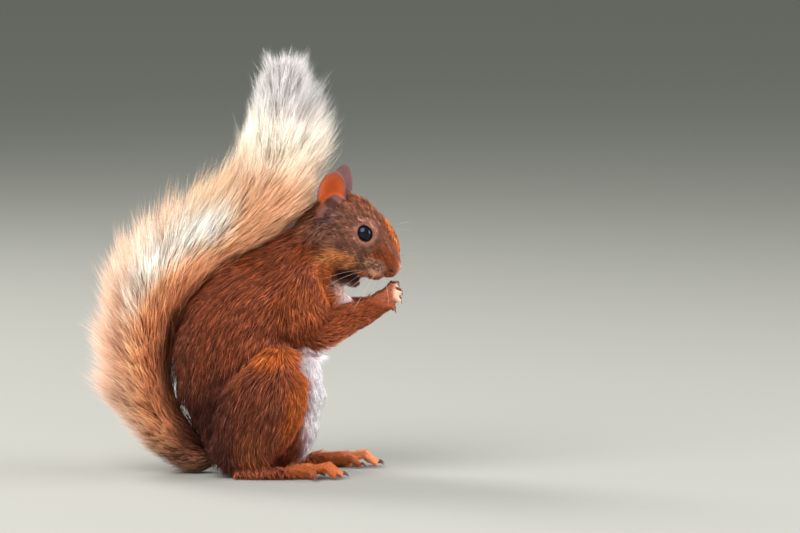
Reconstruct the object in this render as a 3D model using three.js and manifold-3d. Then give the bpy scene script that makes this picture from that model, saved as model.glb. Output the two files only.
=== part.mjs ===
// A life-size red squirrel (Sciurus vulgaris), sitting up on its haunches with both
// hands raised to its mouth and its tail laid up along the back.
//
// Millimetres, +Z up, +X the way the animal faces, +Y its left side. The origin lies
// on the floor, under the middle of the animal's box. Every solid reaches out to the
// tips of the coat there, and the soles, the seat and the root of the tail are flat
// where they rest on the floor.

import * as THREE from "three";
import { mergeVertices } from "three/addons/utils/BufferGeometryUtils.js";
import Module from "manifold-3d";

const wasm = await Module();
wasm.setup();

// ---------------------------------------------------------------------------------
// Driving dimensions
// ---------------------------------------------------------------------------------

const GAP = 0.35; // left between pieces that touch
const FLOOR_DEPTH = 60; // of the block that trims soles and seat flat
const FLOOR_SPAN = 400;
const DOME_RINGS = 2; // rings in the rounded end of a loft

const HEAD_AT = new THREE.Vector3(51, 0, 117); // the point between cheeks and crown
const HEAD_NOD = THREE.MathUtils.degToRad(25); // nose down
const HEAD_TURN = THREE.MathUtils.degToRad(-10); // nose towards the right side
const HEAD_TILT = THREE.MathUtils.degToRad(3); // left ear up

const EYE_RADIUS = 4.7;
const EYE_AT = new THREE.Vector3(6.6, 10.1, 8.6); // in the head's frame

const EAR_HEIGHT = 18.5;
const EAR_HALF_WIDTH = 7.4;
const EAR_WALL = 1.3;
const EAR_CUP = 3.6; // how far the rims stand proud of the ear's middle

const LEFT_FOOT_STEP = 17.5; // the left foot is set this far ahead of the right
const LEFT_KNEE_STEP = 5;

const SIDES = { right: -1, left: 1 };

// ---------------------------------------------------------------------------------
// Solids
// ---------------------------------------------------------------------------------

// A closed body through rings of points, all with the same number of points. Each end
// is closed by a strip laced across it, from its first point and its last inwards.
function closeRings(rings) {
  const count = rings[0].length;
  const faces = [];
  for (let j = 0; j < count; j++) {
    const next = (j + 1) % count;
    for (let i = 0; i < rings.length - 1; i++) {
      const a = i * count + j;
      const b = i * count + next;
      faces.push(a, b, b + count, a, b + count, a + count);
    }
  }
  const top = (rings.length - 1) * count;
  for (let low = 0, high = count - 1; high - low > 1; low++, high--) {
    faces.push(low, high, low + 1, top + low, top + low + 1, top + high);
    if (high - low === 2) break;
    faces.push(low + 1, high, high - 1, top + low + 1, top + high - 1, top + high);
  }
  const geometry = new THREE.BufferGeometry().setFromPoints(rings.flat());
  geometry.setIndex(faces);
  return geometry;
}

// A geometry as a solid that can be joined and cut. A geometry that was wound inwards
// is turned the right way out.
function toSolid(geometry) {
  const bare = geometry.clone();
  bare.deleteAttribute("normal");
  bare.deleteAttribute("uv");
  const merged = mergeVertices(bare, 1e-4);
  const vertProperties = merged.attributes.position.array;
  const triVerts = new Uint32Array(merged.index.array);
  const made = new wasm.Manifold(new wasm.Mesh({ numProp: 3, vertProperties, triVerts }));
  if (made.volume() > 0) return made;
  triVerts.reverse();
  return new wasm.Manifold(new wasm.Mesh({ numProp: 3, vertProperties, triVerts }));
}

function toGeometry(solid) {
  const { vertProperties, triVerts } = solid.getMesh();
  const geometry = new THREE.BufferGeometry();
  geometry.setAttribute("position", new THREE.BufferAttribute(vertProperties, 3));
  geometry.setIndex(new THREE.BufferAttribute(triVerts, 1));
  const flat = geometry.toNonIndexed();
  flat.computeVertexNormals();
  return flat;
}

// A body lofted along a smooth line. Each station is [x, y, z, rise, side, pear]: a
// point on the line, half the section's height and half its width there, in
// millimetres, and how much wider the section is below than above. `from` and `to`
// pick a length of the line, `domes` round off its two ends, and `grow` makes the
// whole body that much fatter, for cutting a neighbour clear of it.
function loft(stations, options = {}) {
  const { around = 16, along = 10, from = 0, to = 1, domes = [0, 0], grow = 0 } = options;
  const width = options.sideways ?? new THREE.Vector3(0, 1, 0);
  const vectors = (pick) => stations.map((s) => new THREE.Vector3(...pick(s)));
  const line = new THREE.CatmullRomCurve3(vectors((s) => s.slice(0, 3)));
  const sizes = new THREE.CatmullRomCurve3(vectors((s) => [s[3], s[4], s[5] ?? 0]));
  const rings = [];

  const addRing = (u, shift, scale) => {
    const t = line.getTangent(u);
    const centre = line.getPoint(u).addScaledVector(t, shift);
    const side = width.clone().addScaledVector(t, -width.dot(t)).normalize();
    const rise = t.clone().cross(side);
    const { x: halfRise, y: halfSide, z: pear } = sizes.getPoint(u);
    const ring = [];
    for (let j = 0; j < around; j++) {
      const angle = (2 * Math.PI * j) / around;
      const up = Math.sin(angle);
      const out = Math.cos(angle) * (1 - pear * up);
      ring.push(
        centre
          .clone()
          .addScaledVector(rise, up * (halfRise + grow) * scale)
          .addScaledVector(side, out * (halfSide + grow) * scale),
      );
    }
    rings.push(ring);
  };

  const [startDome, endDome] = domes.map((d) => (d ? d + grow : 0));
  for (let k = DOME_RINGS; startDome && k > 0; k--) {
    const angle = (0.5 * Math.PI * k) / (DOME_RINGS + 0.45);
    addRing(from, -startDome * Math.sin(angle), Math.cos(angle));
  }
  for (let i = 0; i <= along; i++) addRing(from + ((to - from) * i) / along, 0, 1);
  for (let k = 1; endDome && k <= DOME_RINGS; k++) {
    const angle = (0.5 * Math.PI * k) / (DOME_RINGS + 0.45);
    addRing(to, endDome * Math.sin(angle), Math.cos(angle));
  }
  return toSolid(closeRings(rings));
}

const union = (...solids) => solids.reduce((whole, s) => whole.add(s));
const cutBy = (solid, ...cutters) => cutters.reduce((rest, c) => rest.subtract(c), solid);

// The half-space under the floor, as a block.
const underFloor = toSolid(
  new THREE.BoxGeometry(FLOOR_SPAN, FLOOR_SPAN, FLOOR_DEPTH).translate(0, 0, -FLOOR_DEPTH / 2),
);

// Stations with round sections through points, half as thick as the halves say.
const withHalves = (points, halves) => points.map((p, i) => [...p, halves[i], halves[i]]);

// Stations given for the right side, carried over to the other side by its sign.
const onSide = (sign, stations, stepX = 0) =>
  stations.map(([x, y, ...rest]) => [x + stepX, y * -sign, ...rest]);

// ---------------------------------------------------------------------------------
// Trunk and neck
// ---------------------------------------------------------------------------------

const TRUNK = [
  [2, 0, 7, 22, 21],
  [3.5, 0, 18, 30.5, 26],
  [3.7, 0, 37, 35.8, 29, 0.04],
  [-1.2, 0, 57, 38.4, 29.5, 0.04],
  [1.5, 0, 75.5, 34.5, 27.5],
  [12.5, 0, 88, 29.2, 24.5],
  [23, 0, 100.2, 23.2, 21],
];

const NECK = [
  [23, 0, 100.2, 23.2, 21],
  [30, 0, 108.4, 19.5, 18.5],
  [38, -0.5, 116, 17.5, 17.5],
  [46, -1, 120, 16.5, 16],
];

// The fur of the chest, a ball that stands out between the forearms.
const CHEST_AT = new THREE.Vector3(39.5, -1, 84);
const CHEST_HALF = new THREE.Vector3(13.5, 12, 13);

function chest(grow = 0) {
  const { x, y, z } = CHEST_HALF.clone().addScalar(grow);
  const ball = new THREE.SphereGeometry(1, 12, 8).scale(x, y, z);
  return toSolid(ball.translate(...CHEST_AT));
}

const trunk = (grow = 0) =>
  union(loft(TRUNK, { around: 18, along: 9, domes: [9, 0], grow }), chest(grow));

const neck = (grow = 0) => loft(NECK, { around: 14, along: 3, grow });

// ---------------------------------------------------------------------------------
// Tail, in four lengths
// ---------------------------------------------------------------------------------

const TAIL = [
  [-15, 0, 8, 8, 8],
  [-28, 0, 9.6, 10.5, 12],
  [-41.5, 0, 21, 15, 16],
  [-52.5, 0, 36, 18, 20],
  [-58, 0, 54.5, 18.5, 23],
  [-58.5, 0, 72, 19, 25],
  [-54.5, 0, 91, 20.5, 27],
  [-44, 0, 108, 21.5, 28],
  [-29, 0, 121, 22, 28],
  [-13, 0, 130, 21, 27],
  [2, 0, 140.5, 22.5, 26],
  [15, 0, 157, 24, 25],
  [21, 0, 174.5, 23, 22.5],
  [20.5, 0, 189.5, 19.5, 18.5],
  [20, 0, 203, 13.5, 13],
];

// Where each length ends, as a share of the tail's line.
const TAIL_LENGTHS = { tail_root: 0.16, tail_bend: 0.43, tail_back: 0.68, tail_plume: 1 };
const TAIL_GAP = 0.0012; // half the cut between two lengths, as a share of the line

function tailLengths() {
  const names = Object.keys(TAIL_LENGTHS);
  return names.map((name, i) => {
    const first = i === 0;
    const last = i === names.length - 1;
    return {
      name,
      solid: loft(TAIL, {
        around: 15,
        along: last ? 7 : 5,
        from: first ? 0 : TAIL_LENGTHS[names[i - 1]] + TAIL_GAP,
        to: last ? 1 : TAIL_LENGTHS[name] - TAIL_GAP,
        domes: [0, last ? 13 : 0],
      }),
    };
  });
}

// ---------------------------------------------------------------------------------
// Head, in its own frame: X from the crown to the nose, Z up through the forehead
// ---------------------------------------------------------------------------------

const SKULL = [
  [-23, 0, -1, 12, 11.5],
  [-17, 0, -0.3, 17.6, 15.5, 0.05],
  [-9, 0, 1.1, 21.4, 17.4, 0.1],
  [-1.5, 0, 1.2, 21.2, 17.2, 0.12],
  [5, 0, 1.3, 19, 15.4, 0.1],
  [11, 0, 1.5, 16.1, 12.4, 0.05],
  [16.5, 0, 0.2, 12.6, 9.6],
  [21.5, 0, -2.2, 8.8, 8],
  [25.5, 0, -3.5, 5.8, 6.2],
  [27.6, 0, -4, 3.8, 4.4],
];

const JAW = [
  [-6, 0, -15.5, 5, 8.5],
  [2, 0, -18, 4.3, 7],
  [7.5, 0, -19.2, 3, 5],
  [11.5, 0, -18.8, 2.1, 3.4],
];

const UPPER_TEETH = [
  [17.5, 0, -9, 1.1, 1.9],
  [18.2, 0, -13, 0.9, 1.7],
  [17.4, 0, -15.4, 0.45, 1.5],
];

const LOWER_TEETH = [
  [10.5, 0, -18.5, 1, 1.4],
  [13.2, 0, -16.4, 0.8, 1.3],
  [14.4, 0, -14.8, 0.4, 1.1],
];

const skull = (grow = 0) => loft(SKULL, { around: 18, along: 11, domes: [6, 1.5], grow });
const jaw = (grow = 0) => loft(JAW, { around: 10, along: 3, domes: [3, 1.6], grow });
const teeth = (stations, grow = 0) => loft(stations, { around: 6, along: 2, grow });

function eye(sign, grow = 0) {
  const ball = new THREE.SphereGeometry(EYE_RADIUS + grow, 12, 7);
  return toSolid(ball.translate(EYE_AT.x, sign * EYE_AT.y, EYE_AT.z));
}

// A cupped ear: rings of points run up it, each along the hollow face from the front
// rim to the back rim, and back again behind it.
function ear(sign, grow = 0) {
  const root = new THREE.Vector3(-14.6, sign * 9.8, 12.5);
  const up = new THREE.Vector3(-0.24, sign * 0.2, 0.93).normalize();
  const open = new THREE.Vector3(0.48, sign * 0.88, 0).projectOnPlane(up).normalize();
  const across = new THREE.Vector3().crossVectors(open, up).multiplyScalar(sign);
  const steps = 5;
  const levels = 6;
  const rings = [];
  for (let i = 0; i <= levels; i++) {
    const t = (0.985 * i) / levels;
    const half = EAR_HALF_WIDTH * Math.sqrt(1 - t ** 3) * (1 - 0.06 * t) + grow;
    const cup = EAR_CUP * (1 - 0.45 * t);
    const face = [];
    const back = [];
    for (let j = 0; j <= steps; j++) {
      const s = (2 * j) / steps - 1;
      const rim = root
        .clone()
        .addScaledVector(up, EAR_HEIGHT * t * (1 - 0.05 * s * s) + grow * (2 * t - 1))
        .addScaledVector(across, s * half)
        .addScaledVector(open, cup * s * s);
      face.push(rim.clone().addScaledVector(open, grow));
      back.unshift(rim.clone().addScaledVector(open, -EAR_WALL - grow));
    }
    rings.push([...face, ...back]);
  }
  return toSolid(closeRings(rings));
}

// ---------------------------------------------------------------------------------
// Arms: upper arm, forearm, hand with four fingers and a thumb pad, and claws
// ---------------------------------------------------------------------------------

const HANDS_MIDDLE = -4; // the hands meet this far to the right, under the turned head

const UPPER_ARM = [
  [23, -15, 98, 15, 8.5],
  [28, -19, 86, 13.5, 9],
  [32.5, -22, 74, 11.5, 8.8],
];

const FOREARM = [
  [32.5, -22, 73, 11, 8.6],
  [40, -21, 75.5, 10.3, 8],
  [48, -18.5, 78.5, 8.6, 6.6],
  [57, -15, 81.2, 6.6, 5.2],
  [63.5, -12.5, 84, 5.4, 4.3],
];

const PALM = [
  [63, -12.5, 84, 5.2, 4.1],
  [67, -12, 86.4, 5.4, 3.8],
  [70.5, -11.7, 88.2, 4.8, 3.3],
];

// Each finger from its root over its knuckle to its tip, the outermost and lowest first,
// and half its thickness at each of these.
const FINGERS = {
  outer: [[67.5, -14.2, 84.6], [71.6, -15.4, 85.2], [73.2, -14.6, 83.3]],
  ring: [[69.5, -14, 87], [74, -14.9, 88.7], [76, -12.6, 87.7]],
  middle: [[69.5, -12.9, 89], [73.8, -13.6, 92], [76.2, -11.4, 91.5]],
  inner: [[68.3, -11.2, 90.8], [71.8, -11.4, 95], [74.4, -9.8, 95.2]],
};
const THUMB = [[61.5, -10.5, 86.5], [60.4, -9.6, 88], [59.8, -8.8, 89.4]];
const FINGER_HALVES = [1.8, 1.5, 1.3];
const HAND_CLAW_LENGTH = 3.6;

// The right hand's stations, or the left hand's: the same mirrored in the hands' middle.
const handStations = (sign, stations) =>
  sign === SIDES.right
    ? stations
    : stations.map(([x, y, ...rest]) => [x, 2 * HANDS_MIDDLE - y, ...rest]);

// The arms leave the shoulders evenly and come together at the hands' middle.
const armStations = (sign, stations) =>
  stations.map(([x, y, z, ...sizes]) => {
    const reach = THREE.MathUtils.clamp((x - 32.5) / (63 - 32.5), 0, 1);
    const middle = sign === SIDES.right ? 0 : 2 * HANDS_MIDDLE * reach;
    return [x, middle - sign * y, z, ...sizes];
  });

const upperArm = (sign, grow = 0) =>
  loft(armStations(sign, UPPER_ARM), { around: 10, along: 3, domes: [10, 7], grow });

const forearm = (sign, grow = 0) =>
  loft(armStations(sign, FOREARM), { around: 10, along: 5, domes: [7, 0], grow });

function hand(sign, grow = 0) {
  const placed = (stations) => handStations(sign, stations);
  const finger = (points) => loft(placed(withHalves(points, FINGER_HALVES)), { around: 6, along: 2, grow });
  return union(
    loft(placed(PALM), { around: 10, along: 2, domes: [0, 3], grow }),
    ...Object.values(FINGERS).map(finger),
    finger(THUMB),
  );
}

// A claw starts a gap ahead of its finger's end, goes on the way the finger heads and
// hooks down.
function handClaw(sign, finger) {
  const [before, tip] = finger.slice(-2).map((s) => new THREE.Vector3(...s));
  const ahead = tip.clone().sub(before).normalize();
  const hooked = ahead.clone().add(new THREE.Vector3(0, 0, -1)).normalize();
  const root = tip.clone().addScaledVector(ahead, 2 * GAP);
  const bend = root.clone().addScaledVector(ahead, 0.3 * HAND_CLAW_LENGTH);
  const point = bend.clone().addScaledVector(hooked, 0.7 * HAND_CLAW_LENGTH);
  const stations = [[...root, 0.9, 0.8], [...bend, 0.8, 0.7], [...point, 0.3, 0.3]];
  return loft(handStations(sign, stations), { around: 5, along: 2 });
}

// ---------------------------------------------------------------------------------
// Hind legs: shank and thigh as one haunch in two lengths, foot with five toes, claws
// ---------------------------------------------------------------------------------

const HAUNCH = [
  [-7, -22, 13, 14, 9.5],
  [2, -25, 25, 20.5, 12.5],
  [9, -26.3, 40, 21.5, 13.2],
  [13.5, -25.5, 52, 17.6, 11.5],
  [15.5, -23.5, 60, 11.5, 8.5],
];
const KNEE_CUT = 0.25; // where the shank gives way to the thigh, as a share of the line
const KNEE_GAP = 0.003;

const SOLE = [
  [-4, -27.5, 4, 4.4, 4],
  [9, -27.5, 3.8, 4.2, 4.4],
  [22, -27.2, 3.6, 4, 5.2],
  [32, -27, 3.6, 4.2, 6.6],
];

// Each toe from the ball of the foot over its knuckle and pad to its tip, the outermost
// first, and half its thickness at each of these.
const TOES = {
  fifth: [[29.5, -30.5, 4], [31.4, -35, 5.6], [32.4, -38.2, 2.6], [33, -40.3, 1.7]],
  fourth: [[33.5, -30, 4.6], [39, -31.6, 6.4], [42.2, -32.6, 3], [44.2, -33.2, 1.7]],
  third: [[34.5, -27.4, 5], [41, -28, 6.8], [45.3, -28.4, 3], [47.4, -28.6, 1.7]],
  second: [[34.5, -24.7, 4.6], [40.8, -23.3, 6.4], [45, -22.6, 3], [47.2, -22.2, 1.7]],
  first: [[30, -23, 3.8], [34, -20, 4.6], [37, -18.4, 2.4], [38.8, -17.4, 1.6]],
};
const TOE_HALVES = [2.6, 2.2, 1.9, 1.7];
const FOOT_CLAW = [[1, 0, 1, 0.9, 0.8], [3, 0, 1.4, 0.8, 0.7], [5.4, 0, -0.3, 0.35, 0.35]];

const haunch = (sign, grow = 0, range = {}) =>
  loft(onSide(sign, HAUNCH, sign === SIDES.left ? LEFT_KNEE_STEP : 0), {
    around: 14,
    along: 8,
    domes: [range.from ? 0 : 10, range.to ? 0 : 9],
    grow,
    ...range,
  });

const footStep = (sign) => (sign === SIDES.left ? LEFT_FOOT_STEP : 0);

const sole = (sign, grow = 0) =>
  loft(onSide(sign, SOLE, footStep(sign)), { around: 10, along: 4, domes: [4, 3], grow });

function foot(sign, grow = 0) {
  const placed = (stations) => onSide(sign, stations, footStep(sign));
  const toe = (points) => loft(placed(withHalves(points, TOE_HALVES)), { around: 6, along: 3, grow });
  return union(sole(sign, grow), ...Object.values(TOES).map(toe));
}

// A claw starts a gap ahead of its toe's end and goes on the way the toe heads.
function footClaw(sign, name) {
  const [before, tip] = TOES[name].slice(-2);
  const heading = new THREE.Vector3(tip[0] - before[0], tip[1] - before[1], 0).normalize();
  const stations = FOOT_CLAW.map(([ahead, , rise, ...sizes]) => [
    tip[0] + heading.x * ahead,
    tip[1] + heading.y * ahead,
    tip[2] + rise,
    ...sizes,
  ]);
  return loft(onSide(sign, stations, footStep(sign)), { around: 5, along: 2 });
}

// ---------------------------------------------------------------------------------
// Materials and the scene graph
// ---------------------------------------------------------------------------------

const coat = (name, color) =>
  new THREE.MeshStandardMaterial({ name, color, roughness: 0.85, metalness: 0 });

const materials = {
  red: coat("red_coat", 0x8a3f1d),
  brown: coat("head_coat", 0x7d4a2c),
  cream: coat("tail_coat", 0xe3b184),
  feet: coat("foot_coat", 0xb0582c),
  ear: coat("ear_skin", 0xb4502a),
  eye: new THREE.MeshStandardMaterial({
    name: "eye",
    color: 0x0a0808,
    roughness: 0.05,
    metalness: 0,
  }),
  claw: new THREE.MeshStandardMaterial({
    name: "claw",
    color: 0x2a1d17,
    roughness: 0.4,
    metalness: 0,
  }),
  tooth: new THREE.MeshStandardMaterial({
    name: "tooth",
    color: 0xd08a3c,
    roughness: 0.35,
    metalness: 0,
  }),
};

const squirrel = new THREE.Group();
const headGroup = new THREE.Group();
headGroup.position.copy(HEAD_AT);
headGroup.rotation.set(HEAD_TILT, HEAD_NOD, HEAD_TURN, "ZYX");
squirrel.add(headGroup);
headGroup.updateMatrixWorld(true);

function addNode(group, name, solid, material) {
  const mesh = new THREE.Mesh(toGeometry(solid), material);
  mesh.name = name;
  group.add(mesh);
}

// The head's own solids, carried into the part's frame to cut what they meet.
const inPart = (solid) => solid.transform(headGroup.matrixWorld.elements);
const grownHead = [
  skull(GAP),
  jaw(GAP),
  ear(SIDES.right, GAP),
  ear(SIDES.left, GAP),
].map(inPart);

function addHead() {
  const upper = teeth(UPPER_TEETH);
  const lower = teeth(LOWER_TEETH);
  const head = cutBy(
    skull(),
    jaw(GAP),
    eye(SIDES.right, GAP),
    eye(SIDES.left, GAP),
    teeth(UPPER_TEETH, GAP),
    teeth(LOWER_TEETH, GAP),
  );
  addNode(headGroup, "head", head, materials.brown);
  addNode(headGroup, "jaw", cutBy(jaw(), teeth(LOWER_TEETH, GAP)), materials.brown);
  addNode(headGroup, "teeth_upper", upper, materials.tooth);
  addNode(headGroup, "teeth_lower", lower, materials.tooth);
  for (const [side, sign] of Object.entries(SIDES)) {
    addNode(headGroup, `eye_${side}`, eye(sign), materials.eye);
    addNode(headGroup, `ear_${side}`, cutBy(ear(sign), skull(GAP)), materials.ear);
  }
}

function addTrunk() {
  const limbs = Object.values(SIDES).flatMap((sign) => [
    haunch(sign, GAP),
    sole(sign, GAP),
    upperArm(sign, GAP),
    forearm(sign, GAP),
  ]);
  const body = cutBy(trunk(), ...limbs, neck(GAP), ...grownHead, underFloor);
  addNode(squirrel, "trunk", body, materials.red);
  addNode(squirrel, "neck", cutBy(neck(), ...limbs, ...grownHead), materials.red);
}

function addTail() {
  const haunches = Object.values(SIDES).map((sign) => haunch(sign, GAP));
  const cutters = [trunk(GAP), neck(GAP), ...haunches, ...grownHead, underFloor];
  for (const { name, solid } of tailLengths())
    addNode(squirrel, name, cutBy(solid, ...cutters), materials.cream);
}

function addArm(side, sign) {
  addNode(squirrel, `upper_arm_${side}`, cutBy(upperArm(sign), forearm(sign, GAP)), materials.red);
  addNode(squirrel, `forearm_${side}`, cutBy(forearm(sign), hand(sign, GAP)), materials.red);
  addNode(squirrel, `hand_${side}`, hand(sign), materials.feet);
  for (const [finger, stations] of Object.entries(FINGERS))
    addNode(squirrel, `claw_${finger}_${side}`, handClaw(sign, stations), materials.claw);
}

function addLeg(side, sign) {
  const cutters = [sole(sign, GAP), upperArm(sign, GAP), forearm(sign, GAP), underFloor];
  const shank = haunch(sign, 0, { to: KNEE_CUT - KNEE_GAP, along: 2 });
  const thigh = haunch(sign, 0, { from: KNEE_CUT + KNEE_GAP, along: 6 });
  addNode(squirrel, `shank_${side}`, cutBy(shank, ...cutters), materials.red);
  addNode(squirrel, `thigh_${side}`, cutBy(thigh, ...cutters), materials.red);
  addNode(squirrel, `foot_${side}`, cutBy(foot(sign), underFloor), materials.feet);
  for (const toe of Object.keys(TOES)) {
    const claw = cutBy(footClaw(sign, toe), underFloor);
    addNode(squirrel, `toe_claw_${toe}_${side}`, claw, materials.claw);
  }
}

addHead();
addTrunk();
addTail();
for (const [side, sign] of Object.entries(SIDES)) {
  addArm(side, sign);
  addLeg(side, sign);
}

export default squirrel;
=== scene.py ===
# %% [markdown]
# # A red squirrel in fur
# A squirrel is a soft animal in a coat of hair. The CAD solids give its outline out to
# the tips of that coat. Here one skin is made inside them, and about 150,000 small tufts
# grow out of it again to the same outline. Long hair could be particle hair or curves,
# but only solid mesh survives an export, so every tuft is a thin closed mesh.

# %% Load the frame
import math

import bpy
import numpy as np
from mathutils import Matrix, Vector
from mathutils.bvhtree import BVHTree
from mathutils.kdtree import KDTree


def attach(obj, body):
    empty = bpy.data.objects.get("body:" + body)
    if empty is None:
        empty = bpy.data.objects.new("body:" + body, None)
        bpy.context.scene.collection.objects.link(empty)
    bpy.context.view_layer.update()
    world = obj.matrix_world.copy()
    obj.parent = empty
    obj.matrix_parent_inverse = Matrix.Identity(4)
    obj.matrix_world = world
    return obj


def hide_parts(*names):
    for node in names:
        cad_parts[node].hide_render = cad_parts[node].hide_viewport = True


MM = 0.001
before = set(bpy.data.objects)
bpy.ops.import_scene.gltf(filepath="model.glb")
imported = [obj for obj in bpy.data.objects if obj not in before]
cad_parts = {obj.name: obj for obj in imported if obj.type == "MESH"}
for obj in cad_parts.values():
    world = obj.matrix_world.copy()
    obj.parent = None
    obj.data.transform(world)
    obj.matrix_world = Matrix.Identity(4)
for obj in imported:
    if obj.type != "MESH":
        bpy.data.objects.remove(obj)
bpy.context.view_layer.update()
print("CAD nodes:", len(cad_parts))

# %% [markdown]
# ## Camera
# The animal is looked at from its right side, a little from above, through a long lens.
# A long lens far away keeps the near foot and the far foot at almost the same scale.

# %% Set up the camera
CAMERA_DISTANCE = 3.3
CAMERA_RISE = math.radians(5)
CAMERA_AIM = Vector((0.076, 0.0, 0.1037))
VIEW_WIDTH = 0.4
SENSOR_MM = 36

bpy.ops.object.camera_add(
    location=CAMERA_AIM
    + CAMERA_DISTANCE * Vector((0, -math.cos(CAMERA_RISE), math.sin(CAMERA_RISE))),
    rotation=(math.pi / 2 - CAMERA_RISE, 0, 0),
)
camera = bpy.context.object
camera.name = "camera"
camera.data.sensor_width = SENSOR_MM
camera.data.lens = SENSOR_MM * CAMERA_DISTANCE / VIEW_WIDTH
bpy.context.scene.camera = camera
print("lens:", round(camera.data.lens), "mm")

# %% [markdown]
# ## Materials by name
# A finish is a few shader nodes wired by hand. These helpers keep each wire to a line.


# %% Helpers for shader nodes
def new_material(name):
    material = bpy.data.materials.new(name)
    material.use_nodes = True
    nodes = material.node_tree.nodes
    return material, nodes, material.node_tree.links, nodes["Principled BSDF"]


def add_node(nodes, kind, **settings):
    node = nodes.new(kind)
    for key, value in settings.items():
        if key in node.inputs:
            node.inputs[key].default_value = value
        else:
            setattr(node, key, value)
    return node


def wear(piece, material):
    piece.data.materials.clear()
    piece.data.materials.append(material)


# %% [markdown]
# ## Floor and light
# A pale floor and a plain backdrop let the red coat and the cream tail both stand out.
# A large soft light high on the left is the sky. A second behind the back lights the
# ends of the tail's hair, and a low one in front fills the belly and the feet. The world
# shines all round, but the camera sees it in the tone of the floor's far end, so that no
# horizon shows.

# %% Lay the floor
FLOOR_SIZE = 60.0
FLOOR_GREY = (0.29, 0.29, 0.275, 1)

bpy.ops.mesh.primitive_plane_add(size=FLOOR_SIZE)
floor = bpy.context.object
floor.name = "floor"
material, nodes, links, shader = new_material("pale_floor")
shader.inputs["Base Color"].default_value = FLOOR_GREY
shader.inputs["Roughness"].default_value = 0.9
wear(floor, material)
print("floor:", FLOOR_SIZE, "metres")

# %% Hang the backdrop
SKY_GLOW = (0.33, 0.36, 0.32, 1)
BACKDROP = (0.118, 0.129, 0.110, 1)

world = bpy.data.worlds.new("backdrop")
bpy.context.scene.world = world
world.use_nodes = True
nodes, links = world.node_tree.nodes, world.node_tree.links
glow = nodes["Background"]
glow.inputs["Color"].default_value = SKY_GLOW
shown = add_node(nodes, "ShaderNodeBackground", Color=BACKDROP)
seen = add_node(nodes, "ShaderNodeLightPath")
either = add_node(nodes, "ShaderNodeMixShader")
links.new(seen.outputs["Is Camera Ray"], either.inputs["Fac"])
links.new(glow.outputs["Background"], either.inputs[1])
links.new(shown.outputs["Background"], either.inputs[2])
links.new(either.outputs["Shader"], nodes["World Output"].inputs["Surface"])
bpy.context.scene.view_settings.view_transform = "Standard"

# %% Hang the lights
LIGHTS = {  # place, size in metres, watts, colour
    "sky": ((-0.75, -1.1, 1.3), 1.8, 57, (1.0, 0.98, 0.95)),
    "behind": ((-0.9, 0.9, 1.2), 0.8, 26, (1.0, 0.97, 0.92)),
    "fill": ((1.4, -0.15, 0.3), 1.6, 47, (1.0, 0.97, 0.98)),
}
LIGHT_AIM = Vector((0, 0, 0.1))

for name, (place, size, watts, colour) in LIGHTS.items():
    facing = (LIGHT_AIM - Vector(place)).to_track_quat("-Z", "Y").to_euler()
    bpy.ops.object.light_add(type="AREA", location=place, rotation=facing)
    lamp = bpy.context.object
    lamp.name = name
    lamp.data.shape = "DISK"
    lamp.data.size = size
    lamp.data.energy = watts
    lamp.data.color = colour
print("lights:", ", ".join(LIGHTS))

# %% [markdown]
# ## The head's own frame
# The head nods and turns on the neck. Its features are placed in a frame of their own,
# in millimetres, with X from the crown to the nose and Z up through the forehead.

# %% Make the head's frame
HEAD_AT = Vector((51, 0, 117)) * MM
HEAD_NOD = math.radians(25)
HEAD_TURN = math.radians(-10)
HEAD_TILT = math.radians(3)
EYE_AT = (6.6, 10.1, 8.6)
EYE_RADIUS = 4.5

head_turned = (
    Matrix.Rotation(HEAD_TURN, 4, "Z")
    @ Matrix.Rotation(HEAD_NOD, 4, "Y")
    @ Matrix.Rotation(HEAD_TILT, 4, "X")
)
head_matrix = Matrix.Translation(HEAD_AT) @ head_turned
SIDES = {"right": -1, "left": 1}


def from_head(place):
    """A place in the head's frame, in millimetres, as a place in the part's, in metres."""
    return head_matrix @ (Vector(place) * MM)


def in_head(places):
    """Rows of places in metres, in the head's frame in millimetres, as on its left side."""
    inverse = np.array(head_matrix.inverted())
    local = (places @ inverse[:3, :3].T + inverse[:3, 3]) / MM
    local[:, 1] = np.abs(local[:, 1])
    return local


# %% [markdown]
# ## One skin
# The CAD flesh is two dozen solids with thin gaps between them. To make one skin, copies
# are swelled until they overlap, and rebuilt together as one shell of small cubes, which
# a smoothing then melts together. A thin tail takes the place of the tail's solids,
# since those are all hair.

# %% Copy the flesh
PAIRED = ("upper_arm", "forearm", "hand", "thigh", "shank", "foot")
FLESH = ["trunk", "head", "jaw", "neck"] + [f"{n}_{s}" for n in PAIRED for s in SIDES]
EARS = [f"ear_{side}" for side in SIDES]
TAIL = ["tail_root", "tail_bend", "tail_back", "tail_plume"]
SWELL = 0.3 * MM


def numbers(items, name, width, kind=np.float64):
    rows = np.empty(len(items) * width, kind)
    items.foreach_get(name, rows)
    return rows.reshape(-1, width) if width > 1 else rows


def fade(values, start, end):
    """0 at start, 1 at end, and smooth between."""
    share = np.clip((values - start) / (end - start), 0, 1)
    return share * share * (3 - 2 * share)


def pick(*pieces):
    bpy.ops.object.select_all(action="DESELECT")
    for piece in pieces:
        piece.select_set(True)
    bpy.context.view_layer.objects.active = pieces[0]
    return pieces[0]


def apply(piece, kind, **settings):
    pick(piece)
    modifier = piece.modifiers.new(kind.lower(), kind)
    for key, value in settings.items():
        setattr(modifier, key, value)
    bpy.ops.object.modifier_apply(modifier=modifier.name)


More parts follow.
